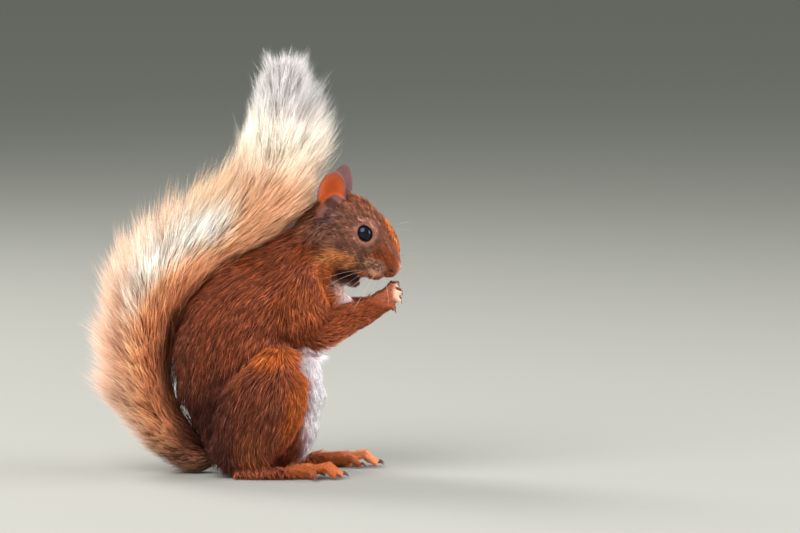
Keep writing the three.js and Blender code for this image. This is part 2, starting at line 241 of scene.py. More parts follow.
def copy_of(names, label):
    copies = []
    for name in names:
        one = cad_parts[name].copy()
        one.data = one.data.copy()
        one.parent = None
        for mark in list(one.keys()):
            del one[mark]
        bpy.context.collection.objects.link(one)
        copies.append(one)
    whole = pick(*copies)
    bpy.ops.object.join()
    whole.name = label
    bpy.ops.object.mode_set(mode="EDIT")
    bpy.ops.mesh.select_all(action="SELECT")
    bpy.ops.mesh.remove_doubles(threshold=0.01 * MM)
    bpy.ops.object.mode_set(mode="OBJECT")
    return whole


skin = copy_of(FLESH, "skin")
apply(skin, "DISPLACE", strength=SWELL, mid_level=0)
print("flesh:", len(skin.data.polygons), "triangles")

# %% Add the thin tail inside the hair
TAIL_LINE = [  # x, z, thickness in millimetres
    (-14, 9, 11),
    (-25, 9, 9),
    (-36.5, 17, 8),
    (-44, 34.5, 7.5),
    (-48, 52, 7),
    (-48.5, 68, 7),
    (-44, 83, 6.5),
    (-34, 97.5, 6),
    (-19, 108, 6),
    (-3, 119, 5.5),
    (8, 133, 5),
    (13.5, 152, 4.5),
    (16, 177, 3.5),
    (17.5, 199, 2),
]

bpy.ops.curve.primitive_nurbs_path_add()
tail = bpy.context.object
tail.name = "thin_tail"
line = tail.data.splines[0]
line.points.add(len(TAIL_LINE) - len(line.points))
for point, (x, z, thickness) in zip(line.points, TAIL_LINE):
    point.co = (x * MM, 0, z * MM, 1)
    point.radius = thickness / 2
line.use_endpoint_u = True
line.order_u = 3
tail.data.bevel_depth = MM
tail.data.bevel_resolution = 4
tail.data.use_fill_caps = True
pick(tail)
bpy.ops.object.convert(target="MESH")
print("thin tail:", len(tail.data.polygons), "faces")

# %% [markdown]
# A squirrel's lids stand round the ball of the eye as a low rim, a little longer than
# it is high. A torus is that rim's shape, so one is set round each opening, and it melts
# into the face with the rest.

# %% Add the rims of the lids
LID_LONG = 5.9
LID_HIGH = 5.25
LID_THICK = 0.8
LID_OUT = 1.75
LID_LEAN = 8


def lid_rim(sign):
    x, y, z = EYE_AT
    facing = Matrix.Rotation(math.radians(-90 * sign), 4, "X")
    outward = Matrix.Rotation(math.radians(-LID_LEAN * sign), 4, "X")
    bpy.ops.mesh.primitive_torus_add(
        major_radius=LID_LONG * MM,
        minor_radius=LID_THICK * MM,
        major_segments=36,
        minor_segments=10,
    )
    rim = bpy.context.object
    rim.scale.y = LID_HIGH / LID_LONG
    bpy.ops.object.transform_apply(location=False, rotation=False, scale=True)
    place = Matrix.Translation(Vector((x, sign * (y + LID_OUT), z)) * MM)
    rim.data.transform(head_matrix @ place @ outward @ facing)
    return rim


rims = [lid_rim(sign) for sign in SIDES.values()]
print("lid rims:", len(rims))

# %% [markdown]
# The whiskers stand in two soft pads that hang over the mouth, and the nose is a small
# bulb between them. The lips close the mouth as far as the front teeth, and a low swelling
# carries the lids. Each is a ball stretched to its size.

# %% Add the whisker pads, the lips and the nose
BULBS = {  # centre and half sizes in the head's frame
    "pad": ((17.2, 4.4, -8.6), (6.4, 3.7, 4.0)),
    "cheek": ((10.5, 6.6, -11.2), (6.0, 3.4, 2.6)),
    "socket": ((6.6, 8.9, 8.6), (7.2, 3.2, 7.0)),
    "mouth": ((6.5, 0, -14.6), (7.0, 5.2, 3.6)),
    "lower_lip": ((10.0, 0, -18.2), (4.6, 3.0, 2.5)),
    "nose": ((27.4, 0, -3.6), (2.4, 2.5, 2.0)),
}


def bulb(place, half, sign):
    bpy.ops.mesh.primitive_uv_sphere_add(segments=32, ring_count=20, radius=1)
    ball = bpy.context.object
    size = Matrix.Diagonal((*(Vector(half) * MM), 1))
    centre = Vector((place[0], sign * place[1], place[2])) * MM
    ball.data.transform(head_matrix @ Matrix.Translation(centre) @ size)
    return ball


bulbs = [bulb(*sizes, 1) for sizes in BULBS.values()]
bulbs += [bulb(*BULBS[name], -1) for name in ("pad", "cheek", "socket")]
print("bulbs:", len(bulbs))

# %% [markdown]
# An ear is a thin cupped leaf with a round top. A flat ball has that outline already,
# and pushing its middle back cups it. Its foot is sunk in the head.

# %% Model the ears
EAR_ROOT = (-14.6, 9.8, 12.5)
EAR_UP = (-0.24, 0.2, 0.93)
EAR_OPEN = (0.48, 0.88, 0)
EAR_HALF = (0.85, 7.5, 11.4)
EAR_EDGE = 0.6
EAR_MIDDLE = 8.4
EAR_CUP = 5.2
EAR_CUP_ENDS = (1.1, -0.2)
EAR_FOOT = 0.12
SMOOTH_BALL = {"segments": 48, "ring_count": 32}


def ear_frame(sign):
    """The ear's own frame in the head's: X out of the cup, Y across and Z up the leaf."""
    up = Vector((EAR_UP[0], sign * EAR_UP[1], EAR_UP[2])).normalized()
    facing = Vector((EAR_OPEN[0], sign * EAR_OPEN[1], EAR_OPEN[2]))
    facing = (facing - up * facing.dot(up)).normalized()
    middle = Vector((EAR_ROOT[0], sign * EAR_ROOT[1], EAR_ROOT[2])) + up * EAR_MIDDLE
    turned = Matrix((facing, up.cross(facing), up)).transposed().to_4x4()
    return Matrix.Translation(middle * MM) @ turned


def ear_cup(across, up):
    """How far back the leaf is bent at shares of its half width and half height."""
    return EAR_CUP * (1 - across**2) * fade(up, *EAR_CUP_ENDS)


def make_ear(sign):
    bpy.ops.mesh.primitive_uv_sphere_add(**SMOOTH_BALL, radius=1)
    leaf = bpy.context.object
    rows = numbers(leaf.data.vertices, "co", 3)
    cup = ear_cup(rows[:, 1], rows[:, 2])
    rows[:, 0] = np.sign(rows[:, 0]) * np.abs(rows[:, 0]) ** EAR_EDGE
    rows[:, 1] *= 1 - EAR_FOOT * rows[:, 2]
    rows *= EAR_HALF
    rows[:, 0] -= cup
    leaf.data.vertices.foreach_set("co", rows.ravel() * MM)
    leaf.data.transform(head_matrix @ ear_frame(sign))
    return leaf


ears = [make_ear(sign) for sign in SIDES.values()]
print("ear points:", [len(leaf.data.vertices) for leaf in ears])

# %% Melt the flesh into one skin
SKIN_CELL = 0.55 * MM

pick(skin, tail, *rims, *ears, *bulbs)
bpy.ops.object.join()
apply(skin, "REMESH", mode="VOXEL", voxel_size=SKIN_CELL)
print("skin shell:", len(skin.data.vertices), "points")

# %% [markdown]
# ## The lie of the coat
# Hair on an animal streams back from the nose, down the flanks and out along the legs.
# It could be combed by hand in sculpt mode. A script combs it with a few lines instead:
# each runs the way the hair runs, and each of its points states how long the hair is.
# Every point of the skin then takes a blend of the nearest lines.

# %% Draw the combing lines
# Each point is x, how far out from the middle, z, and the hair's length, in millimetres.
HEAD_LINES = {
    "brow": [(28, 0, -4, 0.5), (25, 0, 1, 0.9), (18, 0, 9, 1.4), (8, 0, 16, 2.2)],
    "crown": [(8, 0, 16, 2.2), (-4, 0, 19.5, 3), (-16, 0, 17, 4.5), (-24, 0, 8, 6.5)],
    "muzzle": [(27, 3, -4, 0.6), (22, 6, -5, 1.1), (16, 8.5, -5, 1.6), (9, 11.5, -3, 2)],
    "lip": [(24, 2.5, -9, 0.6), (18, 5, -10.5, 1.2), (11, 8, -11, 1.8), (3, 12, -11, 3)],
    "cheek": [(9, 12, -3, 2), (0, 15.5, -3, 3), (-9, 17, -4, 4.5), (-18, 15, -7, 6.5)],
    "lids": [(13.5, 8, 7, 0.7), (9, 12, 2.5, 0.9), (3, 13, 4, 1.2), (-3, 15, 4, 2.4)],
    "over_eye": [(14, 7, 11, 1.3), (6, 9.5, 15, 1.6), (-4, 11, 15, 2.8), (-12, 11, 12, 3)],
    "jaw": [(13, 1.5, -19, 1), (6, 5, -20, 2.4), (-3, 9, -18.5, 4.5), (-14, 11, -15, 6)],
    "chin": [(13, 0, -21, 1.2), (4, 0, -23, 3), (-8, 0, -22, 5.5)],
    "ear": [(-14, 10, 12, 1.6), (-16, 12.5, 21, 1.1), (-18.5, 14.5, 30, 0.9)],
}
BODY_LINES = {
    "nape": [(33, 0, 127, 7.5), (20, 0, 121, 8.5), (8, 0, 115, 9)],
    "back": [(8, 0, 115, 8), (-10, 0, 106, 8.5), (-25, 0, 96, 9), (-36.5, 0, 82, 9)],
    "rump": [(-36.5, 0, 82, 9), (-40, 0, 57, 10), (-36, 0, 35, 10), (-27, 0, 12, 9)],
    "neck_side": [(38, 13, 124, 6), (30, 17, 115, 6.5), (18, 21, 104, 7.5)],
    "flank": [(18, 22, 104, 8), (4, 26, 90, 9), (-5, 29, 66, 9.5), (-9, 29, 44, 9.5)],
    "low_flank": [(-9, 30, 44, 9.5), (-11, 28, 26, 9), (-10, 22, 8, 7)],
    "throat": [(40, 0, 106, 6), (45, 0, 97, 7), (51, 0, 88, 7.5), (52, 0, 80, 7.5)],
    "chest": [(52, 0, 80, 7.5), (47, 0, 73, 7.5), (38, 0, 66, 8)],
    "belly": [(38, 0, 66, 8), (39, 0, 50, 8), (36, 0, 26, 8), (26, 0, 8, 6)],
    "belly_side": [(36, 12, 80, 7), (36, 16, 55, 8), (34, 15, 28, 8)],
    "shoulder": [(32, 19, 108, 6), (29, 26, 92, 6.5), (33, 28, 76, 6)],
    "forearm": [(33, 29, 73, 5.5), (46, 26, 77, 4.2), (57, 20, 80.5, 2.8), (64, 17, 84, 1.5)],
    "under_arm": [(34, 22, 66, 5.5), (46, 18, 70, 4), (57, 14, 76, 2.6), (63, 12, 80, 1.5)],
    "hand": [(64, 15, 85, 1.3), (69, 13, 88, 1), (75, 11, 90, 0.7)],
    "haunch": [(17, 32, 70, 7), (6, 38, 54, 8.5), (2, 39, 38, 8.5), (-3, 36, 20, 7)],
    "haunch_low": [(-3, 36, 20, 8), (-1, 33, 11, 8), (1, 31, 2, 7)],
    "haunch_front": [(22, 30, 66, 6), (29, 29, 50, 6.5), (27, 30, 32, 7), (15, 32, 6, 7)],
    "haunch_in": [(24, 18, 56, 6), (26, 17, 36, 6), (16, 19, 16, 4)],
    "heel": [(-7, 29, 15, 9), (-6, 33, 8, 6), (-6, 34, 2, 2.5)],
    "ankle": [(4, 31, 15, 9), (6, 34, 8, 6), (8, 35, 2, 2.5)],
    "shin": [(14, 31, 15, 8), (16, 33, 8, 5.5), (18, 34, 2, 2.5)],
    "foot": [(21, 29, 9, 2.8), (26, 28.5, 8, 1.8), (31, 27.5, 8, 1.4), (38, 27.5, 8, 1)],
    "toes": [(34, 27.5, 6, 1.1), (47, 27.5, 4, 0.7)],
    "thin_tail": [(-16, 0, 9, 0.4), (-44, 0, 34, 0.4), (-48, 0, 60, 0.4), (-44, 0, 83, 0.4)],
    "tail_end": [(-44, 0, 83, 0.4), (-19, 0, 108, 0.4), (8, 0, 133, 0.4), (17, 0, 199, 0.4)],
}
LEFT_AHEAD = {"heel": 14, "ankle": 14, "shin": 14, "foot": 17.5, "toes": 17.5}
LEFT_AHEAD.update({"haunch": 5, "haunch_low": 9, "haunch_front": 5})
ARM_START, ARM_LENGTH, HANDS_MEET = 32.5, 30.5, -4
COMB_STEP = 4.0


def on_left(x, out):
    """How far left of the middle a left limb's point is, as the hands meet off it."""
    return out + 2 * HANDS_MEET * min(max((x - ARM_START) / ARM_LENGTH, 0), 1)


def both_sides(name, line):
    """A line's points in the part's frame, once for each side that it has."""
    if name in HEAD_LINES:
        turned = [[from_head((x, s * out, z)) / MM for x, out, z, _ in line] for s in (-1, 1)]
    else:
        ahead = LEFT_AHEAD.get(name, 0)
        right = [Vector((x, -out, z)) for x, out, z, _ in line]
        left = [Vector((x + ahead, on_left(x, out), z)) for x, out, z, _ in line]
        turned = [right, left]
    return turned if any(out for _, out, _, _ in line) else turned[:1]


combs = []
LINES = {**HEAD_LINES, **BODY_LINES}
for number, (name, line) in enumerate(LINES.items()):
    for points in both_sides(name, line):
        for start, end, a, b in zip(points, points[1:], line, line[1:]):
            steps = max(1, round((end - start).length / COMB_STEP))
            for step in range(steps):
                share = (step + 0.5) / steps
                length = a[3] + (b[3] - a[3]) * share
                way = (end - start).normalized()
                combs.append((*start.lerp(end, share), *way, length, number))
combs = np.array(combs)
print("combing marks:", len(combs))

# %% Comb any set of places
COMB_SOFT = 1.5
COMB_POWER = 2.5
ROWS_AT_ONCE = 4000


def comb(places):
    """The way the hair runs, its length and its nearest line, at places in metres."""
    ways, lengths, nearest = [], [], []
    for some in np.array_split(places / MM, max(1, len(places) // ROWS_AT_ONCE)):
        gaps = some[:, None, :] - combs[None, :, :3]
        shares = ((gaps**2).sum(2) + COMB_SOFT**2) ** -COMB_POWER
        shares /= shares.sum(1, keepdims=True)
        ways.append(shares @ combs[:, 3:6])
        lengths.append(shares @ combs[:, 6])
        nearest.append(combs[shares.argmax(1), 7].astype(int))
    return np.concatenate(ways), np.concatenate(lengths), np.concatenate(nearest)


# %% [markdown]
# ## Melt and thin the skin
# A smoothing melts the flesh together where the coat is long and hides small forms, and
# hardly touches the face, ears, fingers and toes. Then the skin moves in by the depth of
# the coat, so that the tips of the hair come out at the CAD surface again.

# %% Smooth by the length of the coat
SMOOTH_ROUNDS = 70
SHORT_HAIR, LONG_HAIR = 1.5, 6.0
WEIGHT_STEPS = 20
LEAST_MELT = 0.08


def weigh(piece, name, weights):
    group = piece.vertex_groups.new(name=name)
    levels = np.round(weights * WEIGHT_STEPS).astype(int)
    for level in range(1, WEIGHT_STEPS + 1):
        group.add(np.flatnonzero(levels == level).tolist(), level / WEIGHT_STEPS, "REPLACE")


places = numbers(skin.data.vertices, "co", 3)
_, lengths, nearest = comb(places)
melt = LEAST_MELT + (1 - LEAST_MELT) * fade(lengths, SHORT_HAIR, LONG_HAIR)
weigh(skin, "melt", melt)
apply(skin, "SMOOTH", factor=0.5, iterations=SMOOTH_ROUNDS, vertex_group="melt")
print("hair lengths:", lengths.min().round(1), "to", lengths.max().round(1), "mm")

# %% Move the skin in under the coat
DEPTH_SHARE = 0.42
MOST_DEPTH = 3.8
EYE_STAY = (5.4, 8.5)
LEAF_STAY = (11, 14)

places = numbers(skin.data.vertices, "co", 3)
head_places = in_head(places)
eye_gap = np.linalg.norm(head_places - np.array(EYE_AT), axis=1)
on_leaf = fade(head_places[:, 2], *LEAF_STAY) * (nearest == list(LINES).index("ear"))
depths = np.minimum(DEPTH_SHARE * lengths, MOST_DEPTH) * MM
depths *= fade(eye_gap, *EYE_STAY) * (1 - on_leaf)
normals = numbers(skin.data.vertices, "normal", 3)
skin.data.vertices.foreach_set("co", (places - normals * depths[:, None]).ravel())
skin.data.update()
apply(skin, "SMOOTH", factor=0.5, iterations=4, vertex_group="melt")
print("deepest under the coat:", round(depths.max() / MM, 1), "mm")

# %% Draw the lids onto the eyeball
LID_DRAW = 0.6
LID_REACH = (0.5, 2.0)

places = numbers(skin.data.vertices, "co", 3)
for sign in SIDES.values():
    middle = np.array(from_head((EYE_AT[0], sign * EYE_AT[1], EYE_AT[2])))
    gap = places - middle
    far = np.linalg.norm(gap, axis=1, keepdims=True)
    pull = LID_DRAW * (1 - fade(far / MM - EYE_RADIUS, *LID_REACH)) * MM
    places -= gap / far * pull
skin.data.vertices.foreach_set("co", places.ravel())
skin.data.update()
print("lids drawn in by up to", LID_DRAW, "mm")

# %% Keep the fine forms and thin the rest
KEEP_SHARE = 0.36
COARSE_FROM = 4.0

weigh(skin, "coarse", fade(lengths, SHORT_HAIR, COARSE_FROM))
apply(
    skin,
    "DECIMATE",
    ratio=KEEP_SHARE,
    vertex_group="coarse",
    vertex_group_factor=2.0,
)
apply(skin, "TRIANGULATE")
print("skin:", len(skin.data.polygons), "triangles")

# %% [markdown]
# ## A map for the skin
# Each tuft will be given a small patch of that image at its root's place, so the skin is
# unwrapped first.

# %% Unwrap the skin
MAP_NAME = "OFBake"

pick(skin)
bpy.ops.object.mode_set(mode="EDIT")
bpy.ops.mesh.select_all(action="SELECT")
bpy.ops.uv.smart_project(angle_limit=1.15, island_margin=0.006, scale_to_bounds=True)
bpy.ops.object.mode_set(mode="OBJECT")
skin.data.uv_layers.active.name = MAP_NAME
bpy.ops.object.shade_smooth()
bpy.ops.object.vertex_group_remove(all=True)
print("map:", MAP_NAME)

# %% Keep the skin's rows at hand
places = numbers(skin.data.vertices, "co", 3)
normals = numbers(skin.data.vertices, "normal", 3)
corners = numbers(skin.data.loops, "vertex_index", 1, np.int32).reshape(-1, 3)
corner_maps = numbers(skin.data.uv_layers[MAP_NAME].uv, "vector", 2).reshape(-1, 3, 2)
edges_out = places[corners[:, 1]] - places[corners[:, 0]]
edges_across = places[corners[:, 2]] - places[corners[:, 0]]
face_areas = np.linalg.norm(np.cross(edges_out, edges_across), axis=1) / 2 / MM**2
ways, lengths, nearest = comb(places)
LINE_NAMES = list(LINES)
for name in LINE_NAMES:
    chosen = nearest[corners[:, 0]] == LINE_NAMES.index(name)
    print(f"{name}: {face_areas[chosen].sum():.0f} square millimetres")

# %% [markdown]
# Hair parts round the eye and never grows across it, so near the eye the lie of the coat
# turns to point away from it.

# %% Part the hair round the eyes
EYE_PARTING = (4.8, 9.0)
PARTED = 0.8

head_places = in_head(places)
from_eye = head_places - np.array(EYE_AT)
eye_gap = np.linalg.norm(from_eye, axis=1)
away = from_eye / eye_gap[:, None]
head_rows = np.array(head_matrix)
leftward = (places - head_rows[:3, 3]) @ head_rows[:3, 1]
away[:, 1] *= np.where(leftward < 0, -1, 1)
away = away @ head_rows[:3, :3].T
near_eye = (1 - fade(eye_gap, *EYE_PARTING))[:, None]
ways = ways * (1 - PARTED * near_eye) + away * PARTED * near_eye
ways -= normals * (ways * normals).sum(1, keepdims=True)
ways /= np.linalg.norm(ways, axis=1, keepdims=True) + 1e-9
print("parted round the eyes:", int((near_eye > 0).sum()), "points")

# %% [markdown]
# ## Markings
# A red squirrel in its summer coat is chestnut, darker along the back, with a speckled
# brown head, an orange brow, cheeks, arms and feet, a pale ring round the eye and a white
# belly. The markings are soft patches laid one over another, each an ellipsoid with a
# colour. A few are painted shade rather than colour: the crease between flank and thigh,
# the chin under the head and the nostrils. Skin and hair both read them, so they always
# agree.

# %% Name the colours
PALETTE = {  # linear red, green and blue
    "chestnut": (0.33, 0.084, 0.036),
    "bay": (0.23, 0.066, 0.036),
    "umber": (0.10, 0.028, 0.018),
    "speckled": (0.21, 0.084, 0.050),
    "russet": (0.215, 0.042, 0.007),
    "orange": (0.58, 0.140, 0.028),
    "amber": (0.80, 0.285, 0.090),
    "rose": (0.66, 0.340, 0.220),
    "eye_ring": (0.37, 0.155, 0.108),
    # The belly is white; the lilac tinge of this white is painted shade, the cool tone of shade
    # lit by the sky.
    "white": (0.94, 0.810, 0.870),
    "cream": (0.97, 0.920, 0.820),
    "ivory": (0.84, 0.740, 0.620),
    "snow": (0.60, 0.570, 0.570),
    "peach": (0.68, 0.420, 0.300),
    "tan": (0.90, 0.560, 0.360),
    "fox": (0.92, 0.440, 0.225),
    "rust": (0.62, 0.220, 0.095),
    "bark": (0.15, 0.040, 0.017),
    "mauve": (0.22, 0.110, 0.110),
    "plum": (0.08, 0.030, 0.026),
    "ear_glow": (0.72, 0.135, 0.032),
    "dark_pit": (0.060, 0.016, 0.012),
    "lid_black": (0.015, 0.010, 0.010),
    "toe_pink": (0.96, 0.340, 0.160),
    "blush": (0.95, 0.520, 0.360),
    "fingertip": (0.92, 0.580, 0.420),
}
print("colours:", len(PALETTE))

# %% Lay out the patches
# Each is a centre, a reach, a colour and a strength; the middle value counts out from the
# middle of the body, so that both sides match.
HEAD_PATCHES = {
    "speckled head": ((0, 0, 3), (30, 40, 22), "speckled", 1.0),
    "brow": ((17, 0, 10), (15, 6, 11), "orange", 0.85),
    "crown": ((-6, 0, 21), (16, 8, 6), "russet", 0.25),
    "cheek": ((2, 15, -9), (17, 9, 6.5), "amber", 0.8),
    "cheek back": ((-13, 15, -9), (9, 10, 8), "russet", 0.8),
    "under the ear": ((-13, 12, 9), (7, 7, 6), "mauve", 0.7),
    "before the eye": ((15, 7, 4), (8, 5, 7), "russet", 0.5),
    "muzzle": ((20, 6, -1), (11, 7, 8), "russet", 1.0),
    "whisker pad": ((18.3, 8, -5.2), (7, 5, 5.5), "rose", 0.75),
    "lips": ((8, 4, -15), (10, 9, 4.5), "plum", 0.95),
    # Painted shadow: the chin, under the nodded head, is painted dark plum for the shade there.
    "chin": ((6, 0, -21), (12, 10, 6), "plum", 0.75),
    "nose": ((30, 0, -3), (5, 4, 5), "rose", 0.6),
    # Painted shade: the nostrils are dark openings painted on the closed nose.
    "nostril": ((25.9, 4, -3.8), (1.7, 3.6, 1.4), "dark_pit", 1.0),
}
BODY_PATCHES = {
    "dark back": ((-38, 0, 62), (22, 34, 62), "bay", 0.9),
    "dark rump": ((-25, 0, 20), (29, 60, 42), "umber", 0.95),
    # Painted shade: the crease between the flank and the thigh is darkened for the shadow in it.
    "shaded crease": ((-13, 30, 34), (13, 20, 40), "umber", 0.8),
    "shoulder blades": ((10, 0, 108), (22, 26, 14), "russet", 0.6),
    "haunch": ((2, 38, 34), (22, 16, 30), "bay", 0.5),
    "haunch low": ((4, 36, 15), (16, 14, 16), "amber", 0.13),
    "haunch front": ((30, 31, 38), (14, 12, 37), "orange", 0.95),
    "haunch top": ((14, 32, 64), (16, 12, 7), "orange", 0.95),
    "shoulder": ((24, 26, 88), (14, 14, 18), "orange", 0.35),
    "upper arm": ((33, 27, 73), (13, 12, 10), "russet", 0.8),
    "belly": ((38, 0, 38), (20, 27, 46), "white", 1.0),
    "inner thigh": ((30, 18, 60), (12, 12, 10), "white", 0.9),
    "chest": ((45, 0, 80), (15, 12, 19), "white", 1.0),
    "throat": ((40, 0, 92), (12, 12, 9), "blush", 0.5),
    "neck edge": ((41, 14, 93), (12, 9, 17), "orange", 0.85),
    "arm": ((54, 22, 79), (26, 15, 15), "russet", 1.0),
    "hand": ((68, 13, 87), (10, 12, 9), "orange", 0.1),
    "finger tips": ((77, 12, 91), (6, 9, 8), "fingertip", 0.9),
    "foot": ((43, 28, 3), (29, 14, 10), "orange", 0.7),
    "toes": ((66, 28, 3), (25, 14, 8), "toe_pink", 0.9),
}
PATCH_EDGE = 0.55
print("patches:", len(HEAD_PATCHES) + len(BODY_PATCHES))


# %% Paint any set of places
def lay_patches(colours, rows, patches):
    for centre, reach, colour, strength in patches.values():
        gap = np.linalg.norm((rows - np.array(centre)) / np.array(reach), axis=1)
        share = strength * (1 - fade(gap, PATCH_EDGE, 1))[:, None]
        colours = colours * (1 - share) + np.array(PALETTE[colour]) * share
    return colours


def painted(places):
    """The coat's colour at each place, with the painted shade of a few patches, in linear light.
    """
    colours = np.tile(PALETTE["chestnut"], (len(places), 1))
    body = places / MM
    body[:, 1] = np.abs(body[:, 1])
    colours = lay_patches(colours, in_head(places), HEAD_PATCHES)
    return lay_patches(colours, body, BODY_PATCHES)


tints = painted(places)

# %% [markdown]
# Light shines through the thin leaf of the ear, so its cup is painted a glowing orange,
# down to a pit painted dark for the shade inside it. Its back and its rim are a greyish
# red. Round the eye is a pale ring, and the edge of the lids is black. Small dark dots in
# rows mark the roots of the whiskers.

# %% Colour the ears, the lids and the whiskers' roots
EAR_RIM = (0.66, 1.0)
EYE_RING = (6.5, 7.7)
LID_EDGE = (4.75, 5.1)
DOT_ROWS = {-2.8: (15.4, 17.8, 20.2), -4.6: (14.4, 16.8, 19.2, 21.4), -6.4: (15.6, 18, 20.4)}
DOT_SIZE = (0.4, 0.95)
EAR_HOLLOWS = (((-15.4, 12.5, 15), (6.5, 6, 3.4)), ((-13.8, 14, 9.8), (2.4, 5, 3.4)))
EAR_FRONT = (-0.1, 0.4)
LEAF_THICK = (1.6, 2.4)
PIT_SHADE, DOT_DARK = 0.9, 0.8
SKIN_SHADE = 0.8

on_ear = fade(head_places[:, 2], *LEAF_STAY) * (nearest == LINE_NAMES.index("ear"))
# Painted light: the cup of each ear is coloured a glowing orange for the light that shines through
# the leaf.
ear_inside = np.zeros(len(places))
for sign in SIDES.values():
    inverse = np.array((head_matrix @ ear_frame(sign)).inverted())
    rows = (places @ inverse[:3, :3].T + inverse[:3, 3]) / MM
    across, up = rows[:, 1] / EAR_HALF[1], rows[:, 2] / EAR_HALF[2]
    lift = rows[:, 0] + ear_cup(np.clip(across, -1, 1), up)
    front = fade(normals @ inverse[0, :3], *EAR_FRONT) * (1 - fade(abs(lift), *LEAF_THICK))
    ear_inside += front * (1 - fade(np.hypot(across, np.maximum(up, 0)), *EAR_RIM))
ear_inside = np.clip(ear_inside, 0, 1) * on_ear
# Painted shade: the hollows at the foot of each ear are darkened for the shade in its pit.
hollows = [
    1 - fade(np.linalg.norm((head_places - np.array(at)) / np.array(size), axis=1), PATCH_EDGE, 1)
    for at, size in EAR_HOLLOWS
]
from_dots = [
    np.hypot(head_places[:, 0] - ahead, head_places[:, 2] - up)
    for up, row in DOT_ROWS.items()
    for ahead in row
]
dots = 1 - fade(np.min(from_dots, axis=0), *DOT_SIZE)
for share, colour in (
    (on_ear, "mauve"),
    (ear_inside, "ear_glow"),
    (np.maximum(*hollows) * PIT_SHADE, "dark_pit"),
    (1 - fade(eye_gap, *EYE_RING), "eye_ring"),
    (1 - fade(eye_gap, *LID_EDGE), "lid_black"),
    (dots * DOT_DARK, "plum"),
):
    tints = tints * (1 - share[:, None]) + np.array(PALETTE[colour]) * share[:, None]
print("mean tint:", tints.mean(0).round(2))


def add_colours(piece, colours, name="coat"):
    layer = piece.data.color_attributes.new(name, "FLOAT_COLOR", "POINT")
    rows = np.ones((len(colours), 4))
    rows[:, :3] = colours
    layer.data.foreach_set("color", rows.ravel())


# Painted shade: the bare skin is darker than the hair on it, since it shows only deep in the gaps
# of the coat.
add_colours(skin, tints * SKIN_SHADE)

# %% [markdown]
# ## Growing tufts
# A tuft of hair is a three-sided blade along a bent line, thin at the root, widest in the
# middle and gathered to a point. All the tufts of one region are made at once as rows of
# numbers and become one mesh, because a hundred thousand separate objects would take
# hours. Each tuft's faces share a small square of the map at its root.

# %% Place the points of many tufts
SECTION = np.radians([90, 210, 330])
FLATNESS = 0.55
FLOOR_GAP = 0.15 * MM


def tuft_points(paths, widths, sides):
    """Three points round each ring of each line, and one at its tip."""
    count, rings = len(paths), paths.shape[1] - 1
    along = np.diff(paths, axis=1)
    along /= np.linalg.norm(along, axis=2, keepdims=True)
    thick = np.cross(along, sides[:, None, :])
    thick /= np.linalg.norm(thick, axis=2, keepdims=True)
    across = np.cross(thick, along)
    half = widths[:, :, None, None] / 2
    ring_points = (
        paths[:, :rings, None, :]
        + half * np.cos(SECTION)[:, None] * across[:, :, None, :]
        + half * FLATNESS * np.sin(SECTION)[:, None] * thick[:, :, None, :]
    ).reshape(count, rings * 3, 3)
    points = np.concatenate([ring_points, paths[:, rings:]], axis=1)
    points[:, :, 2] = np.maximum(points[:, :, 2], FLOOR_GAP)
    return points


# %% List the faces of one tuft
ROOT_MAP = [(0.9, 0.0), (0.5, 0.1), (0.1, 0.0)]


def tuft_faces(rings):
    """One tuft's corners, their places on its patch, and how many corners each face has."""
    faces, map_at = [[2, 1, 0]], [ROOT_MAP]
    quads, quad_maps = [], []
    for ring in range(rings):
        low, high = ring / rings, (ring + 1) / rings
        for side in range(3):
            a, b = ring * 3 + side, ring * 3 + (side + 1) % 3
            left, right = side / 3, (side + 1) / 3
            if ring < rings - 1:
                quads.append([a, b, b + 3, a + 3])
                quad_maps.append([(left, low), (right, low), (right, high), (left, high)])
            else:
                faces.append([a, b, rings * 3])
                map_at.append([(left, low), (right, low), ((left + right) / 2, 1.0)])
    order = np.array([corner for face in faces + quads for corner in face])
    uvs = np.array([uv for face in map_at + quad_maps for uv in face])
    return order, uvs, [3] * len(faces) + [4] * len(quads)


# %% Make a mesh of tufts
PATCH = 0.003
PATCH_RIM = 0.04


def tuft_mesh(name, paths, widths, sides, colours, spots):
    """One mesh from centre lines, widths by ring, broad ways, colours and map places."""
    points = tuft_points(paths, widths, sides)
    count, rings = len(paths), paths.shape[1] - 1
    order, uvs, sizes = tuft_faces(rings)
    loops = (np.arange(count)[:, None] * points.shape[1] + order).ravel()
    totals = np.tile(sizes, count)
    starts = np.concatenate([[0], np.cumsum(totals)[:-1]])
    mesh = bpy.data.meshes.new(name)
    mesh.vertices.add(count * points.shape[1])
    mesh.vertices.foreach_set("co", points.ravel())
    mesh.loops.add(len(loops))
    mesh.loops.foreach_set("vertex_index", loops.astype(np.int32))
    mesh.polygons.add(len(totals))
    mesh.polygons.foreach_set("loop_start", starts.astype(np.int32))
    cells = np.floor(spots / PATCH) * PATCH
    patch = cells[:, None, :] + PATCH * (PATCH_RIM + (1 - 2 * PATCH_RIM) * uvs[None, :, :])
    mesh.uv_layers.new(name=MAP_NAME).uv.foreach_set("vector", patch.ravel())
    mesh.update(calc_edges=True)
    piece = bpy.data.objects.new(name, mesh)
    bpy.context.collection.objects.link(piece)
    mesh.shade_smooth()
    ring_colours = np.repeat(colours[:, :rings], 3, axis=1)
    point_colours = np.concatenate([ring_colours, colours[:, rings:]], axis=1)
    add_colours(piece, point_colours.reshape(-1, 3))
    triangles = count * sum(size - 2 for size in sizes)
    print(f"{name}: {count} tufts, {triangles} triangles")
    return piece


# %% [markdown]
# Roots are scattered by area, and each takes its place, normal and colour from the three
# corners of its face. A tuft then walks off in steps. What varies from place to place
# comes from a sum of slow waves, so that neighbours are alike, as hair is.

